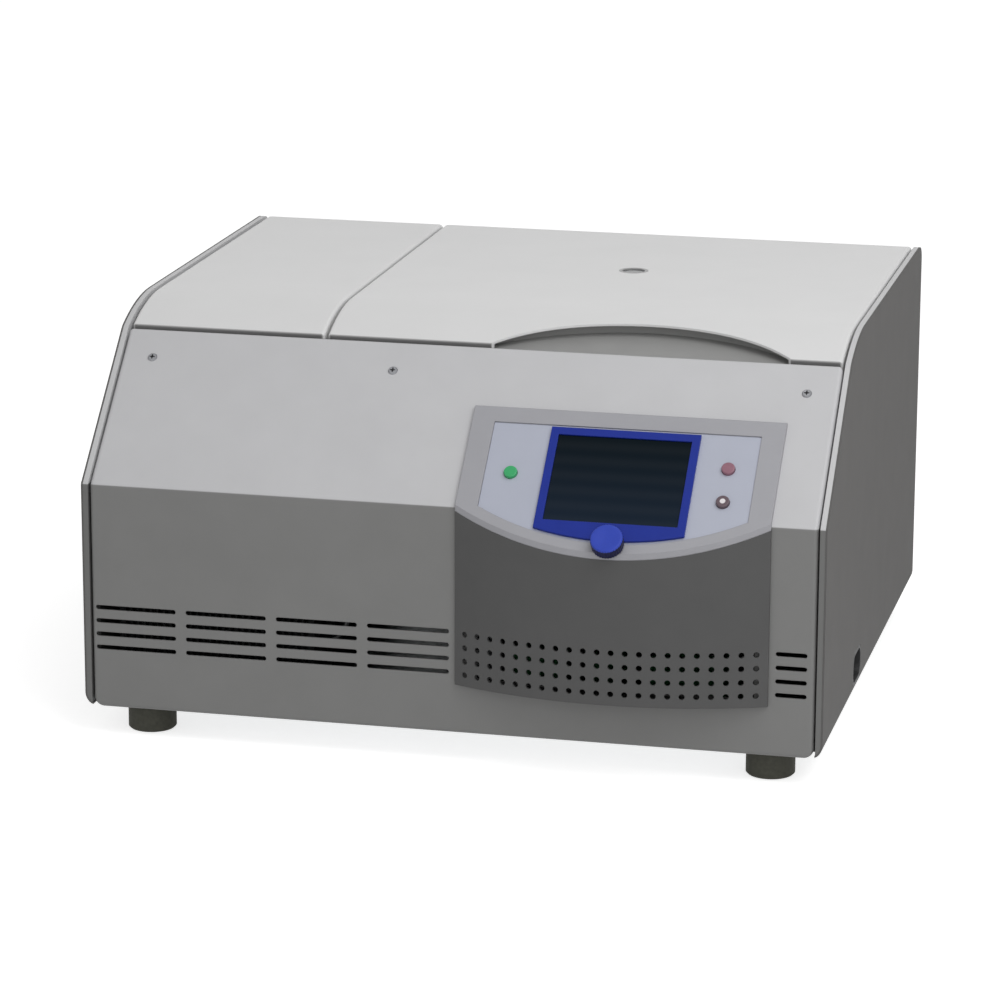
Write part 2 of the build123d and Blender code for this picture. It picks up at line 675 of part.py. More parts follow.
def lid_hinge_leaves():
    """Moving hinge halves: two knuckles each, on a leaf under the lid's skin."""
    made = []
    for x in hinge_places():
        leaf_top = DECK_HEIGHT - COVER_WALL
        leaf = block(x - 22, x + 22, HINGE_Y - 30, HINGE_Y - 1, leaf_top - 3, leaf_top)
        leaf += block(x - 22, x + 22, HINGE_Y - 5, HINGE_Y - 1, HINGE_Z + 4, leaf_top)
        leaf -= rod_x(x - 8, x + 8, HINGE_Y, HINGE_Z, KNUCKLE_RADIUS + 0.8)
        for side in (-1, 1):
            near = x + side * (KNUCKLE_WIDTH / 2 + HINGE_SIDE_GAP)
            far = x + side * KNUCKLE_WIDTH * 1.5
            knuckle = rod_x(min(near, far), max(near, far), HINGE_Y, HINGE_Z, KNUCKLE_RADIUS)
            leaf += knuckle
        bore = rod_x(x - 40, x + 40, HINGE_Y, HINGE_Z, HINGE_PIN_DIAMETER / 2 + RUNNING_FIT)
        made.append(leaf - bore)
    return made


def striker_places():
    """The X centres of the two lid strikers."""
    return [ROTOR_X - STRIKER_SPACING / 2, ROTOR_X + STRIKER_SPACING / 2]


def lid_strikers():
    """Steel tongues under the lid, each with a hole for a lock pin."""
    made = []
    for x in striker_places():
        tongue = block(x - 2, x + 2, STRIKER_Y - 7, STRIKER_Y + 7, STRIKER_HOLE_Z - 8, LINER_UNDERSIDE)
        tongue += block(x - 7, x + 7, STRIKER_Y - 9, STRIKER_Y + 9, LINER_UNDERSIDE - 2, LINER_UNDERSIDE)
        tongue -= rod_x(x - 9, x + 9, STRIKER_Y, STRIKER_HOLE_Z, LOCK_PIN_DIAMETER / 2 + LOCK_PIN_CLEARANCE)
        made.append(tongue)
    return made


def lock_housing():
    """Channel under the deck that guides the lock bar."""
    left, right = striker_places()
    x0, x1 = left - 34, right + 26
    y0, y1 = STRIKER_Y - 16, STRIKER_Y + 20
    bottom = STRIKER_HOLE_Z - 14
    channel = block(x0, x1, y0, y1, bottom, DECK_UNDERSIDE)
    return channel - block(x0 - 1, x1 + 1, y0 + SHEET, y1 - SHEET, bottom + SHEET, DECK_UNDERSIDE + 1)


def lock_bar():
    """Sliding bar with two pins, driven across into the strikers."""
    left, right = striker_places()
    y0 = STRIKER_Y + 9
    z0, z1 = STRIKER_HOLE_Z - 6, STRIKER_HOLE_Z + 6
    y1 = STRIKER_Y + 20 - SHEET - 0.3
    bar = block(left - 18, right - 12, y0, y1, STRIKER_HOLE_Z - 14 + SHEET + 0.3, z1)
    for x in (left, right):
        bar += block(x - 17, x - 13, STRIKER_Y - 5, y0 + 1, z0, z1)
        tip = x + LOCK_REACH_PAST - LOCK_TRAVEL
        bar += rod_x(x - 14, tip, STRIKER_Y, STRIKER_HOLE_Z, LOCK_PIN_DIAMETER / 2)
    return bar


def deck_plate():
    """Plate round the chamber mouth, under the lid and the fixed cover."""
    edge = HALF - SHEET - FRAME_WIDTH
    deck = block(-edge, edge, SLANT_RUN - LIP_DROP, DEPTH - SHEET, DECK_UNDERSIDE, DECK_TOP)
    deck -= post(ROTOR_X, ROTOR_Y, DECK_UNDERSIDE - 1, DECK_TOP + 1, BOWL_RADIUS + 2)
    for x in striker_places():
        deck -= block(x - 4, x + 4, STRIKER_Y - 16, STRIKER_Y + 9, DECK_UNDERSIDE - 1, DECK_TOP + 1)
    return deck


def chamber_tub():
    """Sheet tub round the insulation, on three legs that stand on the base tray."""
    tub = collar(ROTOR_X, ROTOR_Y, TUB_FLOOR, RIM_HEIGHT, TUB_RADIUS, TUB_RADIUS - TUB_WALL)
    tub += collar(ROTOR_X, ROTOR_Y, TUB_FLOOR - TUB_WALL, TUB_FLOOR, TUB_RADIUS, MOTOR_RADIUS + 8)
    for index in range(4):
        angle = radians(45 + 90 * index)
        x = ROTOR_X + (TUB_RADIUS - 30) * cos(angle)
        y = ROTOR_Y + (TUB_RADIUS - 30) * sin(angle)
        tub += block(x - 10, x + 10, y - 10, y + 10, TRAY_TOP, TUB_FLOOR)
    return tub - post(ROTOR_X, ROTOR_Y, TUB_FLOOR, RIM_HEIGHT + 1, TUB_RADIUS - TUB_WALL)


def evaporator_limits():
    """Lowest and highest point and radial thickness of the tube wound on the bowl."""
    return BOWL_FLOOR + 30, RIM_HEIGHT - 40, 8.0


def chamber_insulation():
    """Foam between the tub and the bowl, relieved for the tube wound on the bowl."""
    outer = TUB_RADIUS - TUB_WALL
    foam = post(ROTOR_X, ROTOR_Y, TUB_FLOOR, RIM_HEIGHT, outer)
    foam -= post(ROTOR_X, ROTOR_Y, BOWL_FLOOR - BOWL_WALL, RIM_HEIGHT + 1, BOWL_RADIUS + BOWL_WALL)
    low, high, thick = evaporator_limits()
    foam -= post(ROTOR_X, ROTOR_Y, low, high, BOWL_RADIUS + BOWL_WALL + thick)
    return foam - post(ROTOR_X, ROTOR_Y, TUB_FLOOR - 1, BOWL_FLOOR, MOTOR_RADIUS + 8)


def evaporator_coil():
    """The tube wound round the bowl, as one plain sleeve."""
    low, high, thick = evaporator_limits()
    inner = BOWL_RADIUS + BOWL_WALL
    return collar(ROTOR_X, ROTOR_Y, low, high, inner + thick, inner)


def chamber_bowl():
    """Drawn steel bowl with a rolled flange on the rim."""
    outer = BOWL_RADIUS + BOWL_WALL
    bowl = post(ROTOR_X, ROTOR_Y, BOWL_FLOOR - BOWL_WALL, RIM_HEIGHT, outer)
    bowl = fillet(bowl.edges().group_by(Axis.Z)[0], BOWL_WALL)
    bowl += post(ROTOR_X, ROTOR_Y, RIM_HEIGHT, RIM_HEIGHT + BOWL_WALL, BOWL_RADIUS + 22)
    hollow = post(ROTOR_X, ROTOR_Y, BOWL_FLOOR, RIM_HEIGHT + 5, BOWL_RADIUS)
    hollow = fillet(hollow.edges().group_by(Axis.Z)[0], 8)
    return bowl - hollow - post(ROTOR_X, ROTOR_Y, 0, BOWL_FLOOR + 1, 24)


def chamber_seal():
    """Rubber ring on the deck that the lid liner closes on."""
    inner = BOWL_RADIUS + 4
    ring = collar(ROTOR_X, ROTOR_Y, DECK_TOP, DECK_TOP + SEAL_HEIGHT, inner + SEAL_WIDTH, inner)
    return fillet(ring.edges().group_by(Axis.Z)[-1], 2.5)


def motor_housing():
    """Drive motor can with its mounting flange and bearing seats."""
    motor = post(ROTOR_X, ROTOR_Y, MOTOR_BOTTOM, MOTOR_TOP, MOTOR_RADIUS)
    motor = fillet(motor.edges(), 5)
    motor += post(ROTOR_X, ROTOR_Y, MOTOR_FLANGE_Z, MOTOR_FLANGE_Z + 6, MOTOR_RADIUS + 30)
    bore = SPINDLE_DIAMETER / 2 + 2
    motor -= post(ROTOR_X, ROTOR_Y, MOTOR_BOTTOM + 6, MOTOR_TOP + 1, bore)
    for z0, z1 in bearing_heights():
        motor -= post(ROTOR_X, ROTOR_Y, z0, z1, bore + 8)
    return motor


def bearing_heights():
    """The two bearing seats in the motor."""
    return [(MOTOR_BOTTOM + 8, MOTOR_BOTTOM + 18), (MOTOR_TOP - 12, MOTOR_TOP - 2)]


def motor_bearings():
    """Two ball bearings, as plain rings that fill their seats."""
    bore = SPINDLE_DIAMETER / 2 + RUNNING_FIT
    outer = SPINDLE_DIAMETER / 2 + 10
    return [collar(ROTOR_X, ROTOR_Y, z0, z1, outer, bore) for z0, z1 in bearing_heights()]


def motor_dampers():
    """Rubber posts between the base tray and the motor's flange."""
    made = []
    for index in range(DAMPER_COUNT):
        angle = radians(90 + 360 / DAMPER_COUNT * index)
        x = ROTOR_X + (MOTOR_RADIUS + 16) * cos(angle)
        y = ROTOR_Y + (MOTOR_RADIUS + 16) * sin(angle)
        waist = collar(x, y, TRAY_TOP + 12, MOTOR_FLANGE_Z - 10, DAMPER_RADIUS + 1, DAMPER_RADIUS - 3)
        made.append(post(x, y, TRAY_TOP, MOTOR_FLANGE_Z, DAMPER_RADIUS) - waist)
    return made


def drive_shaft():
    """Spindle from the motor up to the rotor, with a shoulder under the hub and a threaded tip."""
    radius = SPINDLE_DIAMETER / 2
    hub_bottom = PIVOT_HEIGHT - HUB_BELOW
    shaft = post(ROTOR_X, ROTOR_Y, MOTOR_BOTTOM + 7, hub_bottom + 22, radius)
    shaft += post(ROTOR_X, ROTOR_Y, hub_bottom - 6, hub_bottom, radius + 5)
    return shaft + post(ROTOR_X, ROTOR_Y, hub_bottom + 20, PIVOT_HEIGHT + 20, radius - THREAD_STEP)


def spindle_seal():
    """Rubber sleeve round the spindle in the bowl's floor."""
    radius = SPINDLE_DIAMETER / 2
    boot = collar(ROTOR_X, ROTOR_Y, BOWL_FLOOR, BOWL_FLOOR + 4, 30, radius + 3)
    return boot + collar(ROTOR_X, ROTOR_Y, MOTOR_TOP, BOWL_FLOOR + 14, radius + 8, radius + 3)


def bucket_angles():
    """Directions of the four buckets from the rotor's axis."""
    return [0, 90, 180, 270]


def rotor_cross():
    """Four-armed rotor with a hub, and a trunnion pin on each side of every bucket."""
    low, high = PIVOT_HEIGHT - HUB_BELOW, PIVOT_HEIGHT + HUB_ABOVE
    cross = Pos(0, 0, (low + high) / 2) * Cylinder(HUB_RADIUS, high - low)
    for angle in (45, 135, 225, 315):
        arm = block(HUB_RADIUS - 6, ARM_REACH, -ARM_WIDTH / 2, ARM_WIDTH / 2, PIVOT_HEIGHT - 12, high)
        cross += Rot(0, 0, angle) * arm
    for angle in bucket_angles():
        for side in (-1, 1):
            ends = sorted((side * (BUCKET_RADIUS + 2.5), side * (BUCKET_RADIUS + 27)))
            pin = rod_y(PIVOT_RADIUS, ends[0], ends[1], PIVOT_HEIGHT, TRUNNION_DIAMETER / 2)
            cross += Rot(0, 0, angle) * pin
    cross -= Pos(0, 0, PIVOT_HEIGHT - 14) * Cylinder(SPINDLE_DIAMETER / 2, 24)
    cross -= Pos(0, 0, PIVOT_HEIGHT) * Cylinder(SPINDLE_DIAMETER / 2 - THREAD_STEP, 60)
    return Pos(ROTOR_X, ROTOR_Y, 0) * cross


def rotor_nut():
    """Domed nut that clamps the rotor on the spindle."""
    low = PIVOT_HEIGHT + HUB_ABOVE
    nut = post(ROTOR_X, ROTOR_Y, low, low + 18, 14)
    nut = fillet(nut.edges().group_by(Axis.Z)[-1], 6)
    return nut - post(ROTOR_X, ROTOR_Y, low - 1, PIVOT_HEIGHT + 20, SPINDLE_DIAMETER / 2 - THREAD_STEP)


def bucket(angle):
    """Round swing-out bucket with two ears that hang on the rotor's pins."""
    low, high = PIVOT_HEIGHT - BUCKET_DROP, PIVOT_HEIGHT + BUCKET_RISE
    body = post(PIVOT_RADIUS, 0, low, high, BUCKET_RADIUS)
    body = fillet(body.edges().group_by(Axis.Z)[0], 6)
    reach = BUCKET_RADIUS + 9
    body += rod_y(PIVOT_RADIUS, -reach, reach, PIVOT_HEIGHT, 9)
    hollow = post(PIVOT_RADIUS, 0, low + BUCKET_WALL, high + 1, BUCKET_RADIUS - BUCKET_WALL)
    body -= fillet(hollow.edges().group_by(Axis.Z)[0], 4)
    for side in (-1, 1):
        ends = sorted((side * (BUCKET_RADIUS + 1), side * (reach + 1)))
        body -= rod_y(PIVOT_RADIUS, ends[0], ends[1], PIVOT_HEIGHT, TRUNNION_DIAMETER / 2 + RUNNING_FIT)
    return Pos(ROTOR_X, ROTOR_Y, 0) * Rot(0, 0, angle) * body


def compressor():
    """Hermetic compressor can on its base plate."""
    x, y = compressor_place()
    low = TRAY_TOP + 22
    can = post(x, y, low + 3, low + COMPRESSOR_HEIGHT, COMPRESSOR_RADIUS)
    can = fillet(can.edges(), 24)
    plate = rounded_slab(x - 72, x + 72, y - 72, y + 72, low, low + 4, 10)
    band = collar(x, y, low + 70, low + 74, COMPRESSOR_RADIUS + 3, COMPRESSOR_RADIUS - 1)
    return can + plate + band


def compressor_place():
    """The compressor's centre in the left bay."""
    return LEFT_BAY_X, ROTOR_Y + 30


def compressor_mounts():
    """Four rubber mounts under the compressor's base plate."""
    x, y = compressor_place()
    made = []
    for dx in (-60, 60):
        for dy in (-60, 60):
            made.append(post(x + dx, y + dy, TRAY_TOP, TRAY_TOP + 22, 10))
    return made


def condenser():
    """Finned condenser block behind the front louvres, on two legs behind the foot screws."""
    x0, x1 = LEFT_BAY_X - CONDENSER_WIDTH / 2, LEFT_BAY_X + CONDENSER_WIDTH / 2
    z0, z1 = FAN_Z - CONDENSER_HEIGHT / 2, FAN_Z + CONDENSER_HEIGHT / 2
    y0, y1 = CONDENSER_FRONT, CONDENSER_FRONT + CONDENSER_DEPTH
    core = block(x0, x1, y0, y1, z0, z1)
    pitch = (x1 - x0 - 8) / CONDENSER_FINS
    for index in range(CONDENSER_FINS):
        x = x0 + 4 + (index + 0.5) * pitch
        core -= block(x - pitch * 0.36, x + pitch * 0.36, y0 - 1, y0 + 9, z0 + 6, z1 - 6)
    leg_front = FOOT_INSET_Y + NUT_RADIUS + PANEL_GAP
    for x in (x0, x1 - CONDENSER_LEG):
        core += block(x, x + CONDENSER_LEG, leg_front, y1, TRAY_TOP, z0 + 1)
    return core


def fan_plane():
    """Front of the fan shroud, against the condenser."""
    return CONDENSER_FRONT + CONDENSER_DEPTH


def fan_shroud():
    """Square shroud with a round mouth and a four-armed spider for the fan motor."""
    y0 = fan_plane()
    half = CONDENSER_WIDTH / 2
    shroud = block(LEFT_BAY_X - half, LEFT_BAY_X + half, y0, y0 + 24, FAN_Z - half, FAN_Z + half)
    shroud -= rod_y(LEFT_BAY_X, y0 - 1, y0 + 25, FAN_Z, FAN_RADIUS + FAN_TIP_GAP)
    shroud += rod_y(LEFT_BAY_X, y0 + 21, y0 + 24, FAN_Z, 34)
    for angle in (45, 135):
        arm = Box(2 * (FAN_RADIUS + FAN_TIP_GAP + 4), 3, 8)
        shroud += Pos(LEFT_BAY_X, y0 + 22.5, FAN_Z) * Rot(0, angle, 0) * arm
    return shroud - rod_y(LEFT_BAY_X, y0 - 1, y0 + 30, FAN_Z, 3 + 2)


def fan_motor():
    """Small motor behind the spider, with a bore for the fan's shaft."""
    y0 = fan_plane() + 24
    can = rod_y(LEFT_BAY_X, y0, y0 + 40, FAN_Z, 30)
    can = fillet(can.edges().group_by(Axis.Y)[-1], 4)
    return can - rod_y(LEFT_BAY_X, y0 - 1, y0 + 20, FAN_Z, 3 + RUNNING_FIT)


def fan_blades():
    """Axial fan wheel on its shaft."""
    y0 = fan_plane() + 3
    wheel = rod_y(LEFT_BAY_X, y0, y0 + 16, FAN_Z, 22)
    wheel = fillet(wheel.edges().group_by(Axis.Y)[0], 4)
    wheel += rod_y(LEFT_BAY_X, y0 + 2, fan_plane() + 42, FAN_Z, 3)
    for index in range(FAN_BLADES):
        blade = Pos(48, 0, 0) * Rot(32, 0, 0) * Box(2 * (FAN_RADIUS - 48) - 1, 2, 22)
        wheel += Pos(LEFT_BAY_X, y0 + 8, FAN_Z) * Rot(0, 360 / FAN_BLADES * index, 0) * blade
    return wheel


def pipe(points, radius=PIPE_DIAMETER / 2, bend=PIPE_BEND):
    """A tube along straight runs joined by arcs."""
    path = FilletPolyline(*points, radius=bend)
    start = Plane(origin=path @ 0, z_dir=path % 0)
    return sweep(start * Circle(radius), path=path)


def refrigerant_pipes():
    """Discharge, liquid and suction lines, the liquid line with its filter drier."""
    x, y = compressor_place()
    top = TRAY_TOP + 22 + COMPRESSOR_HEIGHT
    front = CONDENSER_FRONT + CONDENSER_DEPTH / 2
    condenser_top = FAN_Z + CONDENSER_HEIGHT / 2
    high = top + 45
    left = x - 30
    discharge = pipe([(left, y, top), (left, y, high), (left, front, high), (left, front, condenser_top)])
    tub_left = ROTOR_X - TUB_RADIUS
    suction = pipe([(tub_left, ROTOR_Y, high), (x + 28, ROTOR_Y, high), (x + 28, ROTOR_Y, top)])
    side = LEFT_BAY_X + CONDENSER_WIDTH / 2
    run_x = side + 24
    tub_z = TUB_FLOOR + 60
    liquid = pipe([(side, front, 60), (run_x, front, 60), (run_x, front, tub_z), (ROTOR_X, front, tub_z),
                   (ROTOR_X, ROTOR_Y - TUB_RADIUS, tub_z)])
    drier = rod_x(run_x + 40, run_x + 90, front, tub_z, 9)
    return [discharge, suction, liquid + drier]


def power_board():
    """Drive and supply board on four posts in front of the chamber, with a finned heat sink."""
    x0, x1 = 20.0, 230.0
    y0, y1 = 50.0, 160.0
    low = TRAY_TOP + 10
    board = block(x0, x1, y0, y1, low, low + BOARD_THICKNESS)
    for x in (x0 + 6, x1 - 6):
        for y in (y0 + 6, y1 - 6):
            board += post(x, y, TRAY_TOP, low + 1, 3)
    top = low + BOARD_THICKNESS
    board += block(x0 + 14, x0 + 64, y0 + 18, y0 + 62, top, top + 38)
    for index in range(3):
        board += post(x0 + 95, y0 + 20 + index * 32, top, top + 42, 13)
    board += block(x1 - 76, x1 - 10, y0 + 14, y1 - 14, top, top + 5)
    for index in range(8):
        fin = y0 + 16 + index * 10.6
        board += block(x1 - 76, x1 - 10, fin, fin + 2, top + 4, top + 34)
    return board


def bulge_plan(inset, rear):
    """Plan of the control housing: a flat back and a front that bows out."""
    half = PANEL_HALF - inset
    radius = BULGE_RADIUS - inset
    side_y = BULGE_CENTRE_Y - sqrt(radius**2 - half**2)
    arc = ThreePointArc(
        (PANEL_X - half, side_y), (PANEL_X, BULGE_CENTRE_Y - radius), (PANEL_X + half, side_y)
    )
    rest = Polyline((PANEL_X + half, side_y), (PANEL_X + half, rear), (PANEL_X - half, rear),
                    (PANEL_X - half, side_y))
    return make_face([arc, rest])


def above_slant(height):
    """Everything that stands out further than this height from the sloping front."""
    return slant_block(-HALF, HALF, -300, 300, height, height + 300)


def control_grille():
    """Dark perforated shell of the control housing, open at its back and top."""
    shell = extrude(Pos(0, 0, BULGE_FLOOR) * bulge_plan(0, 0), amount=FOLD_HEIGHT)
    shell -= extrude(Pos(0, 0, BULGE_FLOOR + BULGE_WALL) * bulge_plan(BULGE_WALL, 5), amount=FOLD_HEIGHT)
    shell -= above_slant(0)
    holes = []
    first = PANEL_X - HOLE_PITCH * (HOLE_COLUMNS - 1) / 2
    for row in ROW_HEIGHTS:
        for column in range(HOLE_COLUMNS):
            across_x = first + column * HOLE_PITCH - PANEL_X
            turn = degrees(asin(across_x / BULGE_RADIUS))
            on_face = Rot(0, 0, turn) * Pos(0, -BULGE_RADIUS, 0) * Rot(90, 0, 0)
            hole = on_face * Cylinder(HOLE_DIAMETER / 2, 12)
            holes.append(Pos(PANEL_X, BULGE_CENTRE_Y, row) * hole)
    return shell - holes


def window_outline(grow):
    """The pale fascia's outline: straight top and sides, and a bottom that bows down."""
    half = PANEL_HALF - WINDOW_MARGIN + grow
    corner, low, top = WINDOW_CORNER - grow, WINDOW_LOW - grow, WINDOW_TOP + grow
    points = Polyline((PANEL_X - half, corner), (PANEL_X - half, top), (PANEL_X + half, top),
                      (PANEL_X + half, corner))
    arc = ThreePointArc((PANEL_X + half, corner), (PANEL_X, low), (PANEL_X - half, corner))
    return make_face([points, arc])


def on_slope(face, low, high):
    """An outline on the sloping front, carried out from low to high."""
    return extrude(SLANT.offset(low) * face, amount=high - low)


def encoder_hole(extra=0.0):
    """The hole for the knob's bush through the pieces under it."""
    return slant_post(KNOB_X, KNOB_SLANT, -12, 12, KNOB_BORE_DIAMETER / 2 + 2 + extra)


def control_frame():
    """Grey frame plate over the top of the control housing, round the fascia."""
    body = slant_block(-HALF, HALF, -120, FRAME_TOP, 0, FRAME_PROUD)
    body = body & extrude(bulge_plan(0, SLANT_RUN + 50), amount=DECK_HEIGHT)
    top_face = body.faces().sort_by(Axis.Z)[-1]
    body = chamfer(top_face.edges().filter_by(GeomType.LINE).group_by(Axis.Z)[-1], 1.2)
    frame = body - on_slope(window_outline(0), -1, FRAME_PROUD + 5)
    return frame - encoder_hole()


def fascia_holes():
    """X, distance up the slope and radius of each button."""
    right = PANEL_X + 88.9
    return [
        ("start_button", PANEL_X - 90.1, 34.5, BUTTON_RADIUS),
        ("stop_button", right, 50.3, BUTTON_RADIUS),
        ("lid_button", right, 18.2, BUTTON_RADIUS),
    ]


def screen_box(grow, low, high):
    """The display module's space."""
    half = SCREEN_HALF + grow
    return slant_block(PANEL_X - half, PANEL_X + half, SCREEN_LOW - grow, SCREEN_TOP + grow, low, high)


def control_fascia():
    """Pale fascia in the frame, with openings for the display, the buttons and the knob."""
    plate = on_slope(window_outline(-TOUCH), 0, FASCIA_PROUD)
    plate -= screen_box(TOUCH, -5, 10)
    for _, x, s, radius in fascia_holes():
        plate -= slant_post(x, s, -5, 10, radius + TOUCH)
    return plate - encoder_hole()


def display_bezel():
    """Blue bezel round the display, with a bowed lower edge under the knob."""
    left, right = PANEL_X - BEZEL_HALF, PANEL_X + BEZEL_HALF
    corner, top = BEZEL_CORNER, BEZEL_TOP
    line = Polyline((left, corner), (left, top), (right, top), (right, corner))
    arc = ThreePointArc((right, corner), (PANEL_X, BEZEL_LOW), (left, corner))
    plate = on_slope(make_face([line, arc]), FASCIA_PROUD, BEZEL_PROUD)
    return plate - screen_box(TOUCH, -5, 10) - encoder_hole()


def display_screen():
    """Display module with its dark glass."""
    return screen_box(0, -BOARD_DEPTH, SCREEN_PROUD)


def control_board():
    """Control board behind the fascia, with its posts, button switches, encoder and encoder shaft."""
    low = -BOARD_DEPTH - BOARD_THICKNESS
    board = slant_block(PANEL_X - 97, PANEL_X + 95, 0, 76, low, -BOARD_DEPTH)
    board += slant_block(KNOB_X - 24, KNOB_X + 24, KNOB_SLANT - 9, 1, low, -BOARD_DEPTH)
    for x in (PANEL_X - 92, PANEL_X + 90):
        for s in (5, 71):
            board += slant_post(x, s, -BOARD_DEPTH - 1, 0, 2.5)
    for _, x, s, _ in fascia_holes():
        top = -BOARD_DEPTH + SWITCH_BODY_HEIGHT
        board += slant_block(x - 3, x + 3, s - 3, s + 3, -BOARD_DEPTH - 1, top)
    body = slant_block(KNOB_X - 6, KNOB_X + 6, KNOB_SLANT - 6, KNOB_SLANT + 6, -BOARD_DEPTH - 1, -1)
    bush = slant_post(KNOB_X, KNOB_SLANT, -2, 3, KNOB_BORE_DIAMETER / 2 + 1.5)
    shaft = slant_post(KNOB_X, KNOB_SLANT, 2, KNOB_SEAT + KNOB_HEIGHT - 4, KNOB_BORE_DIAMETER / 2)
    return board + body + bush + shaft


def control_knob():
    """Turning knob with a rounded rim and a blind bore on the encoder's shaft."""
    top = KNOB_SEAT + KNOB_HEIGHT
    knob = Cylinder(KNOB_DIAMETER / 2, KNOB_HEIGHT)
    knob = fillet(knob.edges().group_by(Axis.Z)[-1], 1.5)
    knob = SLANT.location * Pos(KNOB_X, KNOB_SLANT, KNOB_SEAT + KNOB_HEIGHT / 2) * knob
    bore = KNOB_BORE_DIAMETER / 2 + RUNNING_FIT
    return knob - slant_post(KNOB_X, KNOB_SLANT, KNOB_SEAT - 1, top - 3, bore)


def panel_button(name):
    """Push button with a retaining flange under the fascia and a stem over its switch."""
    _, x, s, radius = next(place for place in fascia_holes() if place[0] == name)
    cap = Pos(0, 0, (BUTTON_PROUD - 1.2) / 2) * Cylinder(radius, BUTTON_PROUD + 1.2)
    cap = fillet(cap.edges().group_by(Axis.Z)[-1], 1.0)
    cap += Pos(0, 0, -0.7) * Cylinder(radius + BUTTON_FLANGE, 1.0)
    stem_low = -BOARD_DEPTH + SWITCH_BODY_HEIGHT + BUTTON_TRAVEL + TOUCH
    cap += Pos(0, 0, (stem_low - 0.7) / 2) * Cylinder(2, -0.7 - stem_low)
    return SLANT.location * Pos(x, s, 0) * cap


NODES = {
    "base_tray": base_tray,
    "feet": feet,
    "foot_screws": foot_screws,
    "front_panel": front_panel,
    "panel_screws": panel_screws,
    "side_frames": side_frames,
    "side_panel_left": lambda: side_panel(-1),
    "side_panel_right": lambda: side_panel(1),
    "rear_panel": rear_panel,
    "top_cover_left": top_cover_left,
    "deck_plate": deck_plate,
    "chamber_tub": chamber_tub,
    "chamber_insulation": chamber_insulation,
    "chamber_bowl": chamber_bowl,
    "evaporator_coil": evaporator_coil,
    "chamber_seal": chamber_seal,
    "motor_housing": motor_housing,
    "motor_dampers": motor_dampers,
    "motor_bearings": motor_bearings,
    "spindle_seal": spindle_seal,
    "drive_shaft": drive_shaft,
    "rotor_cross": rotor_cross,
    "rotor_nut": rotor_nut,
    "bucket_1": lambda: bucket(0),
    "bucket_2": lambda: bucket(90),
    "bucket_3": lambda: bucket(180),
    "bucket_4": lambda: bucket(270),
    "compressor": compressor,
    "compressor_mounts": compressor_mounts,
    "condenser": condenser,
    "fan_shroud": fan_shroud,
    "fan_motor": fan_motor,
    "fan_blades": fan_blades,
    "refrigerant_pipes": refrigerant_pipes,
    "power_board": power_board,
    "mains_inlet": mains_inlet,
    "mains_switch_housing": mains_switch_housing,
    "mains_rocker": mains_rocker,
    "control_grille": control_grille,
    "control_frame": control_frame,
    "control_fascia": control_fascia,
    "display_bezel": display_bezel,
    "display_screen": display_screen,
    "control_board": control_board,
    "control_knob": control_knob,
    "start_button": lambda: panel_button("start_button"),
    "stop_button": lambda: panel_button("stop_button"),
    "lid_button": lambda: panel_button("lid_button"),
    "lid_shell": lid_shell,
    "lid_foam": lid_foam,
    "lid_liner": lid_liner,
    "lid_grip": lid_grip,
    "port_window": port_window,
    "port_ring": port_ring,
    "hinge_brackets": hinge_brackets,
    "hinge_pins": hinge_pins,
    "lid_hinge_leaves": lid_hinge_leaves,
    "lid_strikers": lid_strikers,
    "lock_housing": lock_housing,
    "lock_bar": lock_bar,
}


def export_nodes():
    """Writes each node's solids, in the part's own frame, to one file."""
    os.makedirs("parts", exist_ok=True)
    for name, make in NODES.items():
        made = make()
        pieces = made if isinstance(made, list) else [made]
        solids = [solid for piece in pieces for solid in (TO_PART_FRAME * piece).solids()]
        export_step(Compound(children=solids), f"parts/{name}.step")


if __name__ == "__main__":
    export_nodes()
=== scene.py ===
"""Looks of the refrigerated bench centrifuge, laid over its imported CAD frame."""

import math

import bpy
import numpy as np
from mathutils import Matrix


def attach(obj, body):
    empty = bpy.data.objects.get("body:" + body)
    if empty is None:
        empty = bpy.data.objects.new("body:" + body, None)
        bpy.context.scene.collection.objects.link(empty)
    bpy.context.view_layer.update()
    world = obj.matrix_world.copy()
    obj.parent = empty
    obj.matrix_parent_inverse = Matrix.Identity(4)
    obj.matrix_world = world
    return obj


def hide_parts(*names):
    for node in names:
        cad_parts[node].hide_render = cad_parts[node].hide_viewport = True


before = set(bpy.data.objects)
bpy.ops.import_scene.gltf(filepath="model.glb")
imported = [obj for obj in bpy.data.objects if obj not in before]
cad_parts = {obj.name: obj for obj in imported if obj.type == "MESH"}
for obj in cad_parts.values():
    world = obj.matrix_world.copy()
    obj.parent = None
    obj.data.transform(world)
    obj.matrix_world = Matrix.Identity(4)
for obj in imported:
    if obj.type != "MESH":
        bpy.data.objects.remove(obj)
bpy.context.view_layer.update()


# The base tray is folded from zinc plated sheet steel, and everything inside stands on it.
# Bright zinc is dull silver with a faint mottle.
def linear(colour):
    """Linear red, green, blue and alpha of an sRGB hex colour."""
    parts = np.array([int(colour[i:i + 2], 16) for i in (1, 3, 5)]) / 255
    low, high = parts / 12.92, ((parts + 0.055) / 1.055) ** 2.4
    return (*np.where(parts <= 0.04045, low, high), 1.0)


def add(tree, kind, inputs=None, **settings):
    """Adds a node with its settings. An input is a value, or a node and the name of its output."""
    node = tree.nodes.new(kind)
    for name, value in settings.items():
        setattr(node, name, value)
    for name, value in (inputs or {}).items():
        if isinstance(value, tuple) and isinstance(value[0], bpy.types.Node):
            tree.links.new(value[0].outputs[value[1]], node.inputs[name])
        else:
            node.inputs[name].default_value = value
    return node


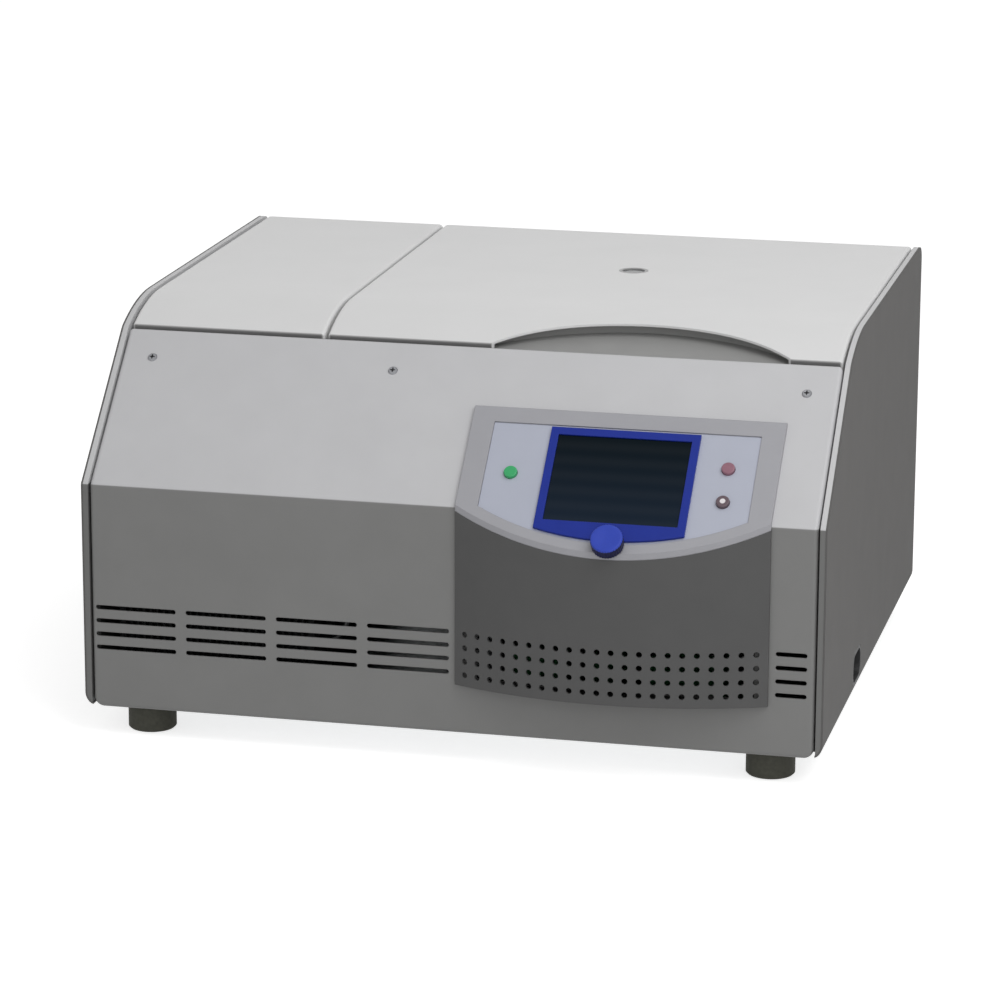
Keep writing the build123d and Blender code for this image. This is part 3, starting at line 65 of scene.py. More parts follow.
def start_material(name):
    """An empty node material, its surface shader and its object coordinates."""
    material = bpy.data.materials.new(name)
    material.use_nodes = True
    tree = material.node_tree
    tree.nodes.clear()
    shader = add(tree, "ShaderNodeBsdfPrincipled")
    add(tree, "ShaderNodeOutputMaterial", {"Surface": (shader, "BSDF")})
    place = add(tree, "ShaderNodeTexCoord")
    return material, tree, shader, place


def mottle(tree, place, shader, colour, spread, size_mm, detail=3.0):
    """Colour that wanders a little lighter and darker over a patch of that size."""
    patches = add(tree, "ShaderNodeTexNoise", {
        "Vector": (place, "Object"), "Scale": 1000 / size_mm, "Detail": detail, "Roughness": 0.55})
    base = np.array(linear(colour))
    ramp = add(tree, "ShaderNodeValToRGB", {"Fac": (patches, "Fac")})
    ramp.color_ramp.elements[0].position = 0.3
    ramp.color_ramp.elements[1].position = 0.7
    ramp.color_ramp.elements[0].color = (*np.clip(base[:3] * (1 - spread), 0, 1), 1)
    ramp.color_ramp.elements[1].color = (*np.clip(base[:3] * (1 + spread), 0, 1), 1)
    tree.links.new(ramp.outputs["Color"], shader.inputs["Base Color"])
    return ramp


def relief(tree, place, shader, grain_mm, depth_mm, edge_mm=0.5, stretch=(1, 1, 1)):
    """Fine bumps of that spacing and depth over edges that look rounded by that radius."""
    turned = add(tree, "ShaderNodeMapping", {"Vector": (place, "Object"), "Scale": stretch})
    grain = add(tree, "ShaderNodeTexNoise", {
        "Vector": (turned, "Vector"), "Scale": 1000 / grain_mm, "Detail": 2.0, "Roughness": 0.5})
    rounded = add(tree, "ShaderNodeBevel", {"Radius": edge_mm / 1000}, samples=4)
    bump = add(tree, "ShaderNodeBump", {
        "Strength": 1.0, "Distance": depth_mm / 1000,
        "Height": (grain, "Fac"), "Normal": (rounded, "Normal")})
    tree.links.new(bump.outputs["Normal"], shader.inputs["Normal"])
    return grain


def dress(material, *nodes):
    """Gives these CAD nodes that material."""
    for name in nodes:
        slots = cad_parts[name].data.materials
        slots.clear()
        slots.append(material)


zinc, tree, shader, place = start_material("zinc_plated_steel")
mottle(tree, place, shader, "#9DA0A2", 0.12, 9)
relief(tree, place, shader, 1.2, 0.01, 0.4)
shader.inputs["Metallic"].default_value = 1.0
shader.inputs["Roughness"].default_value = 0.42
dress(zinc, "base_tray", "deck_plate", "chamber_tub", "hinge_brackets", "lid_hinge_leaves", "lock_housing",
      "lock_bar", "lid_strikers")


# Four rubber feet are moulded as thick pucks and screwed up into the tray through their counterbores.
# Their rubber is a warm dark grey with a dry, dusty skin. The softer mounts and seals inside are blacker.
rubber, tree, shader, place = start_material("moulded_black_rubber")
mottle(tree, place, shader, "#4A4A42", 0.14, 4)
relief(tree, place, shader, 0.7, 0.03, 0.8)
shader.inputs["Roughness"].default_value = 0.78
shader.inputs["Specular IOR Level"].default_value = 0.35
dress(rubber, "feet")

epdm, tree, shader, place = start_material("soft_black_epdm")
mottle(tree, place, shader, "#2B2B2C", 0.14, 5)
relief(tree, place, shader, 0.8, 0.02, 0.6)
shader.inputs["Roughness"].default_value = 0.7
shader.inputs["Specular IOR Level"].default_value = 0.4
dress(epdm, "motor_dampers", "spindle_seal", "compressor_mounts")

ground_steel, tree, shader, place = start_material("turned_bright_steel")
mottle(tree, place, shader, "#B4B6B8", 0.06, 3)
relief(tree, place, shader, 0.5, 0.004, 0.3, (0.2, 0.2, 4))
shader.inputs["Metallic"].default_value = 1.0
shader.inputs["Roughness"].default_value = 0.28
dress(ground_steel, "foot_screws", "motor_bearings", "drive_shaft", "hinge_pins")


# The front is one folded sheet, sprayed light grey above the fold and dark grey below it.
# Textured powder coat is satin, with a fine orange peel that breaks up the highlights.
FOLD_Z = 0.2188
FOLD_BLUR = 0.0004
FRONT_LIGHT = "#C5C5C7"
FRONT_DARK = "#7C7C7B"


def blend(tree, shader, factor, low, high):
    """Base colour made of two colours: low where the factor is 0 and high where it is 1."""
    tones = add(tree, "ShaderNodeMix", data_type="RGBA")
    tree.links.new(factor.outputs["Result"], tones.inputs["Factor"])
    tree.links.new(low.outputs["Color"], tones.inputs["A"])
    tree.links.new(high.outputs["Color"], tones.inputs["B"])
    tree.links.new(tones.outputs["Result"], shader.inputs["Base Color"])


def split_paint(name, upper, lower, grain_mm, depth_mm):
    """Paint in two greys that meet at the height of the fold."""
    material, tree, shader, place = start_material(name)
    light = mottle(tree, place, shader, upper, 0.02, 45)
    dark = mottle(tree, place, shader, lower, 0.03, 45)
    height = add(tree, "ShaderNodeSeparateXYZ", {"Vector": (place, "Object")})
    above = add(tree, "ShaderNodeMapRange", {
        "Value": (height, "Z"), "From Min": FOLD_Z - FOLD_BLUR, "From Max": FOLD_Z + FOLD_BLUR})
    blend(tree, shader, above, dark, light)
    relief(tree, place, shader, grain_mm, depth_mm, 1.0)
    shader.inputs["Roughness"].default_value = 0.5
    return material


dress(split_paint("two_tone_powder_coat", FRONT_LIGHT, FRONT_DARK, 1.1, 0.012), "front_panel")


# Three countersunk screws hold the sloping front to its flange, and their heads are left bright.
# Each head has a cross recess, drawn as a small near-black cross on the head: painted shade where the
# recess falls dark.
recess_painted_shade, tree, shader, place = start_material("shadowed_screw_recess")
mottle(tree, place, shader, "#2A2A2B", 0.2, 1)
relief(tree, place, shader, 0.4, 0.01)
shader.inputs["Metallic"].default_value = 1.0
shader.inputs["Roughness"].default_value = 0.5

dull_nickel, tree, shader, place = start_material("dull_nickel_screw")
mottle(tree, place, shader, "#8C8D90", 0.1, 2)
relief(tree, place, shader, 0.5, 0.006, 0.2)
shader.inputs["Metallic"].default_value = 1.0
shader.inputs["Roughness"].default_value = 0.4
dress(dull_nickel, "panel_screws")

FRONT_TO_CENTRE = -254.6559
FOOT_HEIGHT = 25.0
FOLD_HEIGHT = 194.0
SLOPE_UP = np.array([0.0, 0.72991, 0.68353])
SLOPE_OUT = np.array([0.0, -0.68353, 0.72991])


def to_row(points):
    """Cabinet millimetres, from the front face and the casing's floor, to the row's metres."""
    return (np.asarray(points, float) + (0.0, FRONT_TO_CENTRE, FOOT_HEIGHT)) / 1000


def on_slope(x, up, out):
    """Point of the sloping front: x across, then so far up the slope and so far out of it."""
    x, up, out = np.broadcast_arrays(*(np.asarray(v, float) for v in (x, up, out)))
    across = x[..., None] * np.array([1.0, 0.0, 0.0])
    fold = np.array([0.0, 0.0, FOLD_HEIGHT])
    return across + up[..., None] * SLOPE_UP + out[..., None] * SLOPE_OUT + fold


def skin(name, points, material, body, ring=True, sharp=False):
    """Mesh of a grid of points, rows by columns, already in metres.

    Neighbouring rows and columns are joined by four-sided faces. With ring, the last column joins the
    first, and the first and last rows close with one face each, so the shape is a closed shell."""
    rows, columns = points.shape[:2]
    index = np.arange(rows * columns).reshape(rows, columns)
    right = np.roll(index, -1, axis=1) if ring else index[:, 1:]
    left = index if ring else index[:, :-1]
    quads = np.stack([left[:-1], right[:-1], right[1:], left[1:]], axis=-1).reshape(-1, 4)
    faces = quads.tolist()
    if ring:
        faces += [index[0][::-1].tolist(), index[-1].tolist()]
    mesh = bpy.data.meshes.new(name)
    mesh.from_pydata(points.reshape(-1, 3).tolist(), [], faces)
    mesh.update()
    mesh.polygons.foreach_set("use_smooth", np.full(len(mesh.polygons), not sharp))
    mesh.materials.append(material)
    piece = bpy.data.objects.new(name, mesh)
    bpy.context.scene.collection.objects.link(piece)
    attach(piece, body)
    return piece


def cross_ring(arm, width, count=96):
    """A rounded cross seen from above: its radius is the arm length near each axis and the arm's
    half width over the sine of the angle from the axis elsewhere."""
    angle = np.linspace(0, 2 * np.pi, count, endpoint=False)
    folded = np.abs((angle + np.pi / 4) % (np.pi / 2) - np.pi / 4)
    reach = np.minimum(arm, width / 2 / np.maximum(np.sin(folded), 1e-3))
    return reach * np.cos(angle), reach * np.sin(angle)


SCREW_X = (-281.0, -70.0, 281.0)
SCREW_UP = 130.66
CROSS_ARM = 2.3
CROSS_WIDTH = 0.9
CROSS_RINGS = ((1, 1.2), (1, 1.43), (0.96, 1.46), (0.2, 1.46))
for number, x in enumerate(SCREW_X, 1):
    across, up = cross_ring(CROSS_ARM, CROSS_WIDTH)
    rings = [on_slope(x + across * grow, SCREW_UP + up * grow, out) for grow, out in CROSS_RINGS]
    # The near-black cross is painted shade in place of the recess's own shadow.
    skin(f"screw_recess_{number}", to_row(rings), recess_painted_shade, "cabinet")


# Two pressed edge frames follow the cabinet's outline, light beside the slope and the cover, dark below.
# The fixed cover and the lid are sprayed a smooth satin light grey, and their front flanges are coloured
# dark grey as painted shade for the shadowed gap under their front lip.
FRAME_LIGHT = "#C9C9CA"
FRAME_DARK = "#6C6C6B"
dress(split_paint("two_tone_edge_enamel", FRAME_LIGHT, FRAME_DARK, 1.6, 0.008), "side_frames")

COVER_FRONT = 121.0
COVER_FRONT_Y = (COVER_FRONT + FRONT_TO_CENTRE) / 1000
GAP_SHADE_DEPTH = 0.0008

cover_paint, tree, shader, place = start_material("satin_light_grey_enamel")
light = mottle(tree, place, shader, "#E0E0E0", 0.012, 60)
# Painted shade: in front of this depth the flange is coloured dark grey in place of the gap's shadow.
painted_gap_shade = mottle(tree, place, shader, "#6E6E6E", 0.03, 20)
depth = add(tree, "ShaderNodeSeparateXYZ", {"Vector": (place, "Object")})
behind = add(tree, "ShaderNodeMapRange", {
    "Value": (depth, "Y"), "From Min": COVER_FRONT_Y, "From Max": COVER_FRONT_Y + GAP_SHADE_DEPTH})
blend(tree, shader, behind, painted_gap_shade, light)
relief(tree, place, shader, 1.6, 0.008, 0.9)
shader.inputs["Roughness"].default_value = 0.42
dress(cover_paint, "top_cover_left", "lid_shell")


# The side and rear panels are dark grey powder-coated sheet, and the sides turn in under the cabinet.
# The coat is coarser than on the front, so the light goes flat on it.
dark_coat, tree, shader, place = start_material("textured_dark_powder_coat")
mottle(tree, place, shader, "#696867", 0.03, 40)
relief(tree, place, shader, 0.9, 0.02, 0.9)
shader.inputs["Roughness"].default_value = 0.7
shader.inputs["Specular IOR Level"].default_value = 0.1
dress(dark_coat, "side_panel_left", "side_panel_right", "rear_panel")


# A blank aluminium plate is riveted to the rear panel where such machines carry their rating plate.
# It is plain brushed sheet with four rivet heads, and nothing is printed on it.
PLATE_X = (60.0, 150.0)
PLATE_Z = (215.0, 265.0)
PLATE_CORNER = 4.0
PLATE_PROUD = 0.8
REAR_FACE = 550.0

brushed, tree, shader, place = start_material("brushed_aluminium_plate")
mottle(tree, place, shader, "#B9BBBD", 0.07, 5)
relief(tree, place, shader, 0.6, 0.01, 0.2, (0.06, 1, 1))
shader.inputs["Metallic"].default_value = 1.0
shader.inputs["Roughness"].default_value = 0.38


def rounded_ring(x0, x1, z0, z1, radius, count=64):
    """Outline of a rounded rectangle: four quarter circles about its corner centres, in turn."""
    angle = np.linspace(0, 2 * np.pi, count, endpoint=False) + np.pi / count
    across = np.where(np.cos(angle) > 0, x1 - radius, x0 + radius) + radius * np.cos(angle)
    up = np.where(np.sin(angle) > 0, z1 - radius, z0 + radius) + radius * np.sin(angle)
    return across, up


plate_rows = []
for inset, proud in ((0.0, 0.02), (0.0, PLATE_PROUD - 0.2), (0.2, PLATE_PROUD), (8.0, PLATE_PROUD)):
    across, up = rounded_ring(PLATE_X[0] + inset, PLATE_X[1] - inset,
                              PLATE_Z[0] + inset, PLATE_Z[1] - inset, PLATE_CORNER)
    plate_rows.append(np.stack([across[::-1], np.full(across.shape, REAR_FACE + proud), up[::-1]], axis=-1))
skin("blank_rating_plate", to_row(plate_rows), brushed, "cabinet")

RIVET_PLACES = ((65, 220), (145, 220), (65, 260), (145, 260))
RIVET_RADIUS = 2.0
RIVET_DOME = 1.0
angle = np.linspace(0, 2 * np.pi, 24, endpoint=False)
lift = np.linspace(0, np.pi / 2 * 0.96, 6)
for number, (x, z) in enumerate(RIVET_PLACES, 1):
    radius = RIVET_RADIUS * np.cos(lift)[:, None]
    back = REAR_FACE + PLATE_PROUD + RIVET_DOME * np.sin(lift)[:, None]
    dome = np.stack([x - radius * np.cos(angle), np.broadcast_to(back, (len(lift), len(angle))),
                     z + radius * np.sin(angle)], axis=-1)
    skin(f"plate_rivet_{number}", to_row(dome), ground_steel, "cabinet")


# The cooling chamber is a drawn stainless bowl with a tube wound round it, set in foam inside a steel tub.
# The bowl is brushed in rings by its spinning lathe, so its wall glints in upright streaks.
CHAMBER_X = 81.0
CHAMBER_Y = 368.0

bowl_steel, tree, shader, place = start_material("spun_stainless_steel")
mottle(tree, place, shader, "#B9BABB", 0.05, 12)
relief(tree, place, shader, 0.6, 0.01, 0.6, (0.05, 0.05, 1))
shader.inputs["Metallic"].default_value = 1.0
shader.inputs["Roughness"].default_value = 0.3
dress(bowl_steel, "chamber_bowl")

foam, tree, shader, place = start_material("closed_cell_foam")
mottle(tree, place, shader, "#D9CFAE", 0.08, 3)
cells = add(tree, "ShaderNodeTexVoronoi", {"Vector": (place, "Object"), "Scale": 1000 / 1.8})
bump = add(tree, "ShaderNodeBump", {"Strength": 0.8, "Distance": 0.0003, "Height": (cells, "Distance")})
tree.links.new(bump.outputs["Normal"], shader.inputs["Normal"])
shader.inputs["Roughness"].default_value = 0.9
dress(foam, "chamber_insulation", "lid_foam")

copper, tree, shader, place = start_material("drawn_copper_tube")
mottle(tree, place, shader, "#B4703F", 0.15, 14)
relief(tree, place, shader, 0.8, 0.01, 0.3)
shader.inputs["Metallic"].default_value = 1.0
shader.inputs["Roughness"].default_value = 0.35
dress(copper, "evaporator_coil")


# The chamber gasket is an extruded ring of soft black rubber with two lips, pushed on to the deck.
# Its lips catch a thin line of light each, and the hollow between them stays dark.
SEAL_INNER = 152.0
SEAL_BOTTOM = 286.7

turn = np.linspace(0, 2 * np.pi, 180, endpoint=False)
across = np.array([0.0, 0.3, 1.2, 2.6, 3.8, 4.6, 6.0, 7.4, 8.2, 9.4, 10.8, 11.7, 12.0, 12.0, 0.0])
up = np.array([0.7, 5.6, 6.9, 7.3, 6.7, 5.0, 4.4, 5.0, 6.7, 7.3, 6.9, 5.6, 0.7, 0.0, 0.0])
radius = (SEAL_INNER + across)[None, :]
gasket = np.stack([CHAMBER_X + radius * np.cos(turn)[:, None],
                   CHAMBER_Y + radius * np.sin(turn)[:, None],
                   np.broadcast_to(SEAL_BOTTOM + up, (len(turn), len(up)))], axis=-1)


def hoop(name, points, material, body):
    """Mesh of a closed profile carried round a closed path: both directions of the grid join up."""
    rows, columns = points.shape[:2]
    index = np.arange(rows * columns).reshape(rows, columns)
    down, right = np.roll(index, -1, axis=0), np.roll(index, -1, axis=1)
    corner = np.roll(down, -1, axis=1)
    quads = np.stack([index, down, corner, right], axis=-1).reshape(-1, 4)
    mesh = bpy.data.meshes.new(name)
    mesh.from_pydata(points.reshape(-1, 3).tolist(), [], quads.tolist())
    mesh.update()
    mesh.polygons.foreach_set("use_smooth", np.full(len(mesh.polygons), True))
    mesh.materials.append(material)
    piece = bpy.data.objects.new(name, mesh)
    bpy.context.scene.collection.objects.link(piece)
    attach(piece, body)
    return piece


seal = hoop("lipped_chamber_gasket", to_row(gasket), epdm, "cabinet")
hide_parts("chamber_seal")


# The rotor is machined from aluminium and anodised, and its four buckets hang on steel trunnions.
# Anodised metal is a soft, even silver grey.
anodised, tree, shader, place = start_material("anodised_aluminium")
mottle(tree, place, shader, "#A9ABB0", 0.05, 16)
relief(tree, place, shader, 0.8, 0.006, 0.6)
shader.inputs["Metallic"].default_value = 1.0
shader.inputs["Roughness"].default_value = 0.36
dress(anodised, "rotor_cross", "rotor_nut", "bucket_1", "bucket_2", "bucket_3", "bucket_4")


# The compressor can with its pipes, the drive motor and the fan motor are dipped in gloss black enamel.
# The fan and its shroud are glass-filled black moulding, duller than the enamel.
enamel, tree, shader, place = start_material("gloss_black_enamel")
mottle(tree, place, shader, "#1B1C1E", 0.15, 20)
relief(tree, place, shader, 2.5, 0.02, 0.8)
shader.inputs["Roughness"].default_value = 0.25
shader.inputs["Coat Weight"].default_value = 0.4
# The refrigerant pipes take this black partly as painted shade, so they read dark behind the louvres.
dress(enamel, "compressor", "refrigerant_pipes", "motor_housing", "fan_motor")

black_moulding, tree, shader, place = start_material("glass_filled_black_nylon")
mottle(tree, place, shader, "#1F2021", 0.2, 3)
relief(tree, place, shader, 0.8, 0.02, 0.4)
shader.inputs["Roughness"].default_value = 0.55
dress(black_moulding, "fan_shroud", "fan_blades", "mains_inlet", "mains_switch_housing")


# The condenser is a pack of thin aluminium fins behind the front louvres, dipped whole in black lacquer.
# The lacquer is matt and a little dusty, and its near-black is also painted shade, so the louvres read
# black from outside.
fins, tree, shader, place = start_material("black_lacquered_shaded_fins")
mottle(tree, place, shader, "#222324", 0.2, 6)
relief(tree, place, shader, 0.9, 0.02, 0.1, (1, 1, 0.1))
shader.inputs["Roughness"].default_value = 0.7
shader.inputs["Specular IOR Level"].default_value = 0.25
dress(fins, "condenser")


# The control and power boards are fibreglass laminate under green solder mask.
# The mask is glossy, and tracks and pads under it show as lighter lines in a square weave.
board_green, tree, shader, place = start_material("solder_masked_laminate")
tracks = add(tree, "ShaderNodeTexBrick", {
    "Vector": (place, "Object"), "Color1": linear("#1D5A34"), "Color2": linear("#24683C"),
    "Mortar": linear("#3B8450"), "Scale": 1000 / 9.0, "Mortar Size": 0.04})
tree.links.new(tracks.outputs["Color"], shader.inputs["Base Color"])
relief(tree, place, shader, 1.5, 0.01, 0.2)
shader.inputs["Roughness"].default_value = 0.3
dress(board_green, "power_board", "control_board")


# The mains switch is a black rocker in a recessed surround, low on the right side.
# The rocker is glossy black ABS with the two usual marks pressed into its ends in white.
gloss_black, tree, shader, place = start_material("gloss_black_abs")
mottle(tree, place, shader, "#19191B", 0.2, 5)
relief(tree, place, shader, 1.4, 0.006, 0.5)
shader.inputs["Roughness"].default_value = 0.22
dress(gloss_black, "mains_rocker")

white_mark, tree, shader, place = start_material("white_filled_mark")
mottle(tree, place, shader, "#DADAD6", 0.03, 1)
relief(tree, place, shader, 0.4, 0.004)
shader.inputs["Roughness"].default_value = 0.5

ROCKER_PIVOT = (306.0, 190.0, 25.0)
ROCKER_TILT = math.radians(10.0)
ROCKER_FACE = 3.0
MARK_PROUD = 0.12
MARK_FROM_PIVOT = 8.7
STROKE = 1.0


def on_rocker(out, along, up):
    """Point of the rocker: out from its pivot, along towards the rear and up, turned by its tilt."""
    out, along, up = np.broadcast_arrays(*(np.asarray(v, float) for v in (out, along, up)))
    turned = np.stack([out * math.cos(ROCKER_TILT) - along * math.sin(ROCKER_TILT),
                       out * math.sin(ROCKER_TILT) + along * math.cos(ROCKER_TILT), up], axis=-1)
    return to_row(turned + np.array(ROCKER_PIVOT))


across, up = rounded_ring(-STROKE / 2, STROKE / 2, -2.6, 2.6, STROKE / 2 - 0.01, 32)
bar = [on_rocker(ROCKER_FACE + h, across * k - MARK_FROM_PIVOT, up * k)
       for h, k in ((-0.15, 1.0), (MARK_PROUD - 0.04, 1.0), (MARK_PROUD, 0.96), (MARK_PROUD, 0.3))]
skin("rocker_on_mark", np.array(bar), white_mark, "rocker")

turn = np.linspace(0, 2 * np.pi, 48, endpoint=False)[:, None]
radius = 2.1 + np.array([-0.5, -0.46, 0.46, 0.5, 0.5, -0.5])[None, :] * STROKE
lift = np.array([MARK_PROUD - 0.04, MARK_PROUD, MARK_PROUD, MARK_PROUD - 0.04, -0.15, -0.15])[None, :]
circle = on_rocker(ROCKER_FACE + lift, MARK_FROM_PIVOT + radius * np.cos(turn), radius * np.sin(turn))
hoop("rocker_off_mark", circle, white_mark, "rocker")


# The control housing is a bowed dark shell moulded in ABS, with four rows of holes for cooling air.
# The moulding has a fine spark-eroded grain that keeps it matt.
housing_dark, tree, shader, place = start_material("grained_dark_abs")
mottle(tree, place, shader, "#555555", 0.03, 30)
relief(tree, place, shader, 0.8, 0.02, 0.6)
shader.inputs["Roughness"].default_value = 0.58
shader.inputs["Specular IOR Level"].default_value = 0.3
dress(housing_dark, "control_grille")

housing_grey, tree, shader, place = start_material("satin_grey_abs")
mottle(tree, place, shader, "#A0A0A5", 0.02, 30)
relief(tree, place, shader, 1.0, 0.008, 0.9)
shader.inputs["Roughness"].default_value = 0.45
dress(housing_grey, "control_frame")


# The fascia is a pale printed film on a plastic plate, and the blue bezel round the display stands on it.
# Printed polyester film has a very fine matt tooth, and the bezel is semi-gloss.
film, tree, shader, place = start_material("printed_polyester_film")
mottle(tree, place, shader, "#B0B4C2", 0.015, 25)
relief(tree, place, shader, 0.7, 0.004, 0.4)
shader.inputs["Roughness"].default_value = 0.4
dress(film, "control_fascia")

blue_abs, tree, shader, place = start_material("semi_gloss_blue_abs")
mottle(tree, place, shader, "#1A2F90", 0.04, 18)
relief(tree, place, shader, 1.2, 0.005, 0.7)
shader.inputs["Roughness"].default_value = 0.32
shader.inputs["Specular IOR Level"].default_value = 0.2
dress(blue_abs, "display_bezel")


# The display is dark glass over an unlit liquid crystal panel.
# It is nearly black, with a painted reflection that makes it a little bluer and lighter towards its lower
# edge, and the panel's rows show faintly.
SCREEN_LOW = 0.2158
SCREEN_HIGH = 0.2724

glass_panel, tree, shader, place = start_material("dark_display_glass")
height = add(tree, "ShaderNodeSeparateXYZ", {"Vector": (place, "Object")})
rise = add(tree, "ShaderNodeMapRange", {
    "Value": (height, "Z"), "From Min": SCREEN_LOW, "From Max": SCREEN_HIGH})
# Painted reflection: the glass is coloured lighter and bluer low down and darker at the top.
painted_reflection_ramp = add(tree, "ShaderNodeValToRGB", {"Fac": (rise, "Result")})
painted_reflection_ramp.color_ramp.elements[0].color = linear("#182432")
painted_reflection_ramp.color_ramp.elements[1].color = linear("#061219")
rows = add(tree, "ShaderNodeTexWave", {
    "Vector": (place, "Object"), "Scale": 1000 / 1.6 / 20, "Distortion": 0.0}, bands_direction="Z")
faint = add(tree, "ShaderNodeMix", {"Factor": 0.004}, data_type="RGBA", blend_type="ADD")
tree.links.new(painted_reflection_ramp.outputs["Color"], faint.inputs["A"])
tree.links.new(rows.outputs["Color"], faint.inputs["B"])
tree.links.new(faint.outputs["Result"], shader.inputs["Base Color"])
shader.inputs["Roughness"].default_value = 0.12
shader.inputs["Specular IOR Level"].default_value = 0.05
dress(glass_panel, "display_screen")


# The control knob is a blue cap on the encoder's shaft, with fine flutes for grip, and its fluted side is
# coloured darker blue as painted shade under the lit top.
# Its flat top has a shallow finger dish, and the flutes fade out under the rounded rim.
KNOB_X = 140.3
KNOB_UP = -30.0
KNOB_SEAT = 6.0
KNOB_TOP = 16.0
KNOB_RADIUS = 13.5
FLUTES = 36
FLUTE_DEPTH = 0.45
RIM_RADIUS = 1.6
DISH_DEPTH = 0.6

knob_blue, tree, shader, place = start_material("satin_blue_abs")
cap_blue = mottle(tree, place, shader, "#3449B3", 0.04, 8)
# Painted shade: the fluted side below the rim is coloured dark blue, while the rim and top keep the lighter
# blue.
side_painted_shade = mottle(tree, place, shader, "#16183F", 0.04, 8)
above_fold = add(tree, "ShaderNodeVectorMath", {
    0: (place, "Object"), 1: tuple(SLOPE_OUT)}, operation="DOT_PRODUCT")
fold_line = float(to_row((0.0, 0.0, FOLD_HEIGHT)) @ SLOPE_OUT)
capped = add(tree, "ShaderNodeMapRange", {
    "Value": (above_fold, "Value"),
    "From Min": fold_line + (KNOB_TOP - RIM_RADIUS - 0.2) / 1000,
    "From Max": fold_line + (KNOB_TOP - RIM_RADIUS + 0.4) / 1000})
blend(tree, shader, capped, side_painted_shade, cap_blue)
relief(tree, place, shader, 0.8, 0.006, 0.3)
shader.inputs["Roughness"].default_value = 0.38
shader.inputs["Specular IOR Level"].default_value = 0.2

turn = np.linspace(0, 2 * np.pi, FLUTES * 8, endpoint=False)
side = np.linspace(KNOB_SEAT, KNOB_TOP - RIM_RADIUS, 7)
rim = np.linspace(0, np.pi / 2, 6)[1:]
dish = np.linspace(1, 0.03, 8)[1:]
reach = np.concatenate([np.full(side.shape, KNOB_RADIUS),
                        KNOB_RADIUS - RIM_RADIUS + RIM_RADIUS * np.cos(rim),
                        (KNOB_RADIUS - RIM_RADIUS) * dish])
out = np.concatenate([side, KNOB_TOP - RIM_RADIUS + RIM_RADIUS * np.sin(rim),
                      KNOB_TOP - DISH_DEPTH * (1 - dish**2) ** 2])
cut = np.concatenate([np.ones(side.shape), np.cos(rim), np.zeros(dish.shape)])
radius = reach[:, None] - FLUTE_DEPTH * cut[:, None] * (0.5 - 0.5 * np.cos(FLUTES * turn)) ** 2
knob = on_slope(KNOB_X + radius * np.cos(turn), KNOB_UP + radius * np.sin(turn),
                np.broadcast_to(out[:, None], radius.shape))
cap = skin("fluted_control_knob", to_row(knob), knob_blue, "knob")
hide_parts("control_knob")


# Three push buttons stand in the fascia: green to start, red to stop and a dark ring for the lid.
# They are acetal caps, moulded in colour with a soft edge, and the ring has a white centre.
green_cap, tree, shader, place = start_material("green_acetal")
mottle(tree, place, shader, "#2EA564", 0.06, 4)
relief(tree, place, shader, 1.0, 0.006, 0.6)
shader.inputs["Roughness"].default_value = 0.32
dress(green_cap, "start_button")

red_cap, tree, shader, place = start_material("red_acetal")
mottle(tree, place, shader, "#8C5F6E", 0.06, 4)
relief(tree, place, shader, 1.0, 0.006, 0.6)
shader.inputs["Roughness"].default_value = 0.32
dress(red_cap, "stop_button")

LID_BUTTON = to_row(on_slope(227.4, 18.2, 6.0))
WHITE_CENTRE = 2.3

ringed_cap, tree, shader, place = start_material("ringed_lid_acetal")
offset = add(tree, "ShaderNodeVectorMath", {
    0: (place, "Object"), 1: tuple(LID_BUTTON)}, operation="DISTANCE")
centre = add(tree, "ShaderNodeMapRange", {
    "Value": (offset, "Value"),
    "From Min": (WHITE_CENTRE + 0.2) / 1000, "From Max": (WHITE_CENTRE - 0.2) / 1000})
dark = mottle(tree, place, shader, "#5B4A52", 0.06, 4)
tones = add(tree, "ShaderNodeMix", data_type="RGBA")
tree.links.new(centre.outputs["Result"], tones.inputs["Factor"])
tree.links.new(dark.outputs["Color"], tones.inputs["A"])
tones.inputs["B"].default_value = linear("#E6E2E4")
tree.links.new(tones.outputs["Result"], shader.inputs["Base Color"])
relief(tree, place, shader, 1.0, 0.006, 0.6)
shader.inputs["Roughness"].default_value = 0.32
dress(ringed_cap, "lid_button")


# The lid carries a moulded inner liner, a grey finger tray under its front arc and a small port.
# The liner is pale ABS, the tray a darker grey one, and the port a clear acrylic plug in a thin ring.
liner_abs, tree, shader, place = start_material("pale_liner_abs")
mottle(tree, place, shader, "#C9C9C8", 0.02, 30)
relief(tree, place, shader, 1.1, 0.01, 0.6)
shader.inputs["Roughness"].default_value = 0.5
dress(liner_abs, "lid_liner")

tray_grey, tree, shader, place = start_material("grained_grey_abs")
mottle(tree, place, shader, "#919190", 0.03, 25)
relief(tree, place, shader, 0.9, 0.015, 0.6)
shader.inputs["Roughness"].default_value = 0.55
dress(tray_grey, "lid_grip")

ring_grey, tree, shader, place = start_material("satin_ring_abs")
mottle(tree, place, shader, "#A3A3A3", 0.04, 6)
relief(tree, place, shader, 0.8, 0.006, 0.4)
shader.inputs["Roughness"].default_value = 0.4
dress(ring_grey, "port_ring")

acrylic, tree, shader, place = start_material("smoked_acrylic_plug")
mottle(tree, place, shader, "#6A6C6E", 0.04, 6)
relief(tree, place, shader, 2.0, 0.004, 0.4)
shader.inputs["Roughness"].default_value = 0.15
shader.inputs["Transmission Weight"].default_value = 0.35
shader.inputs["IOR"].default_value = 1.49
dress(acrylic, "port_window")


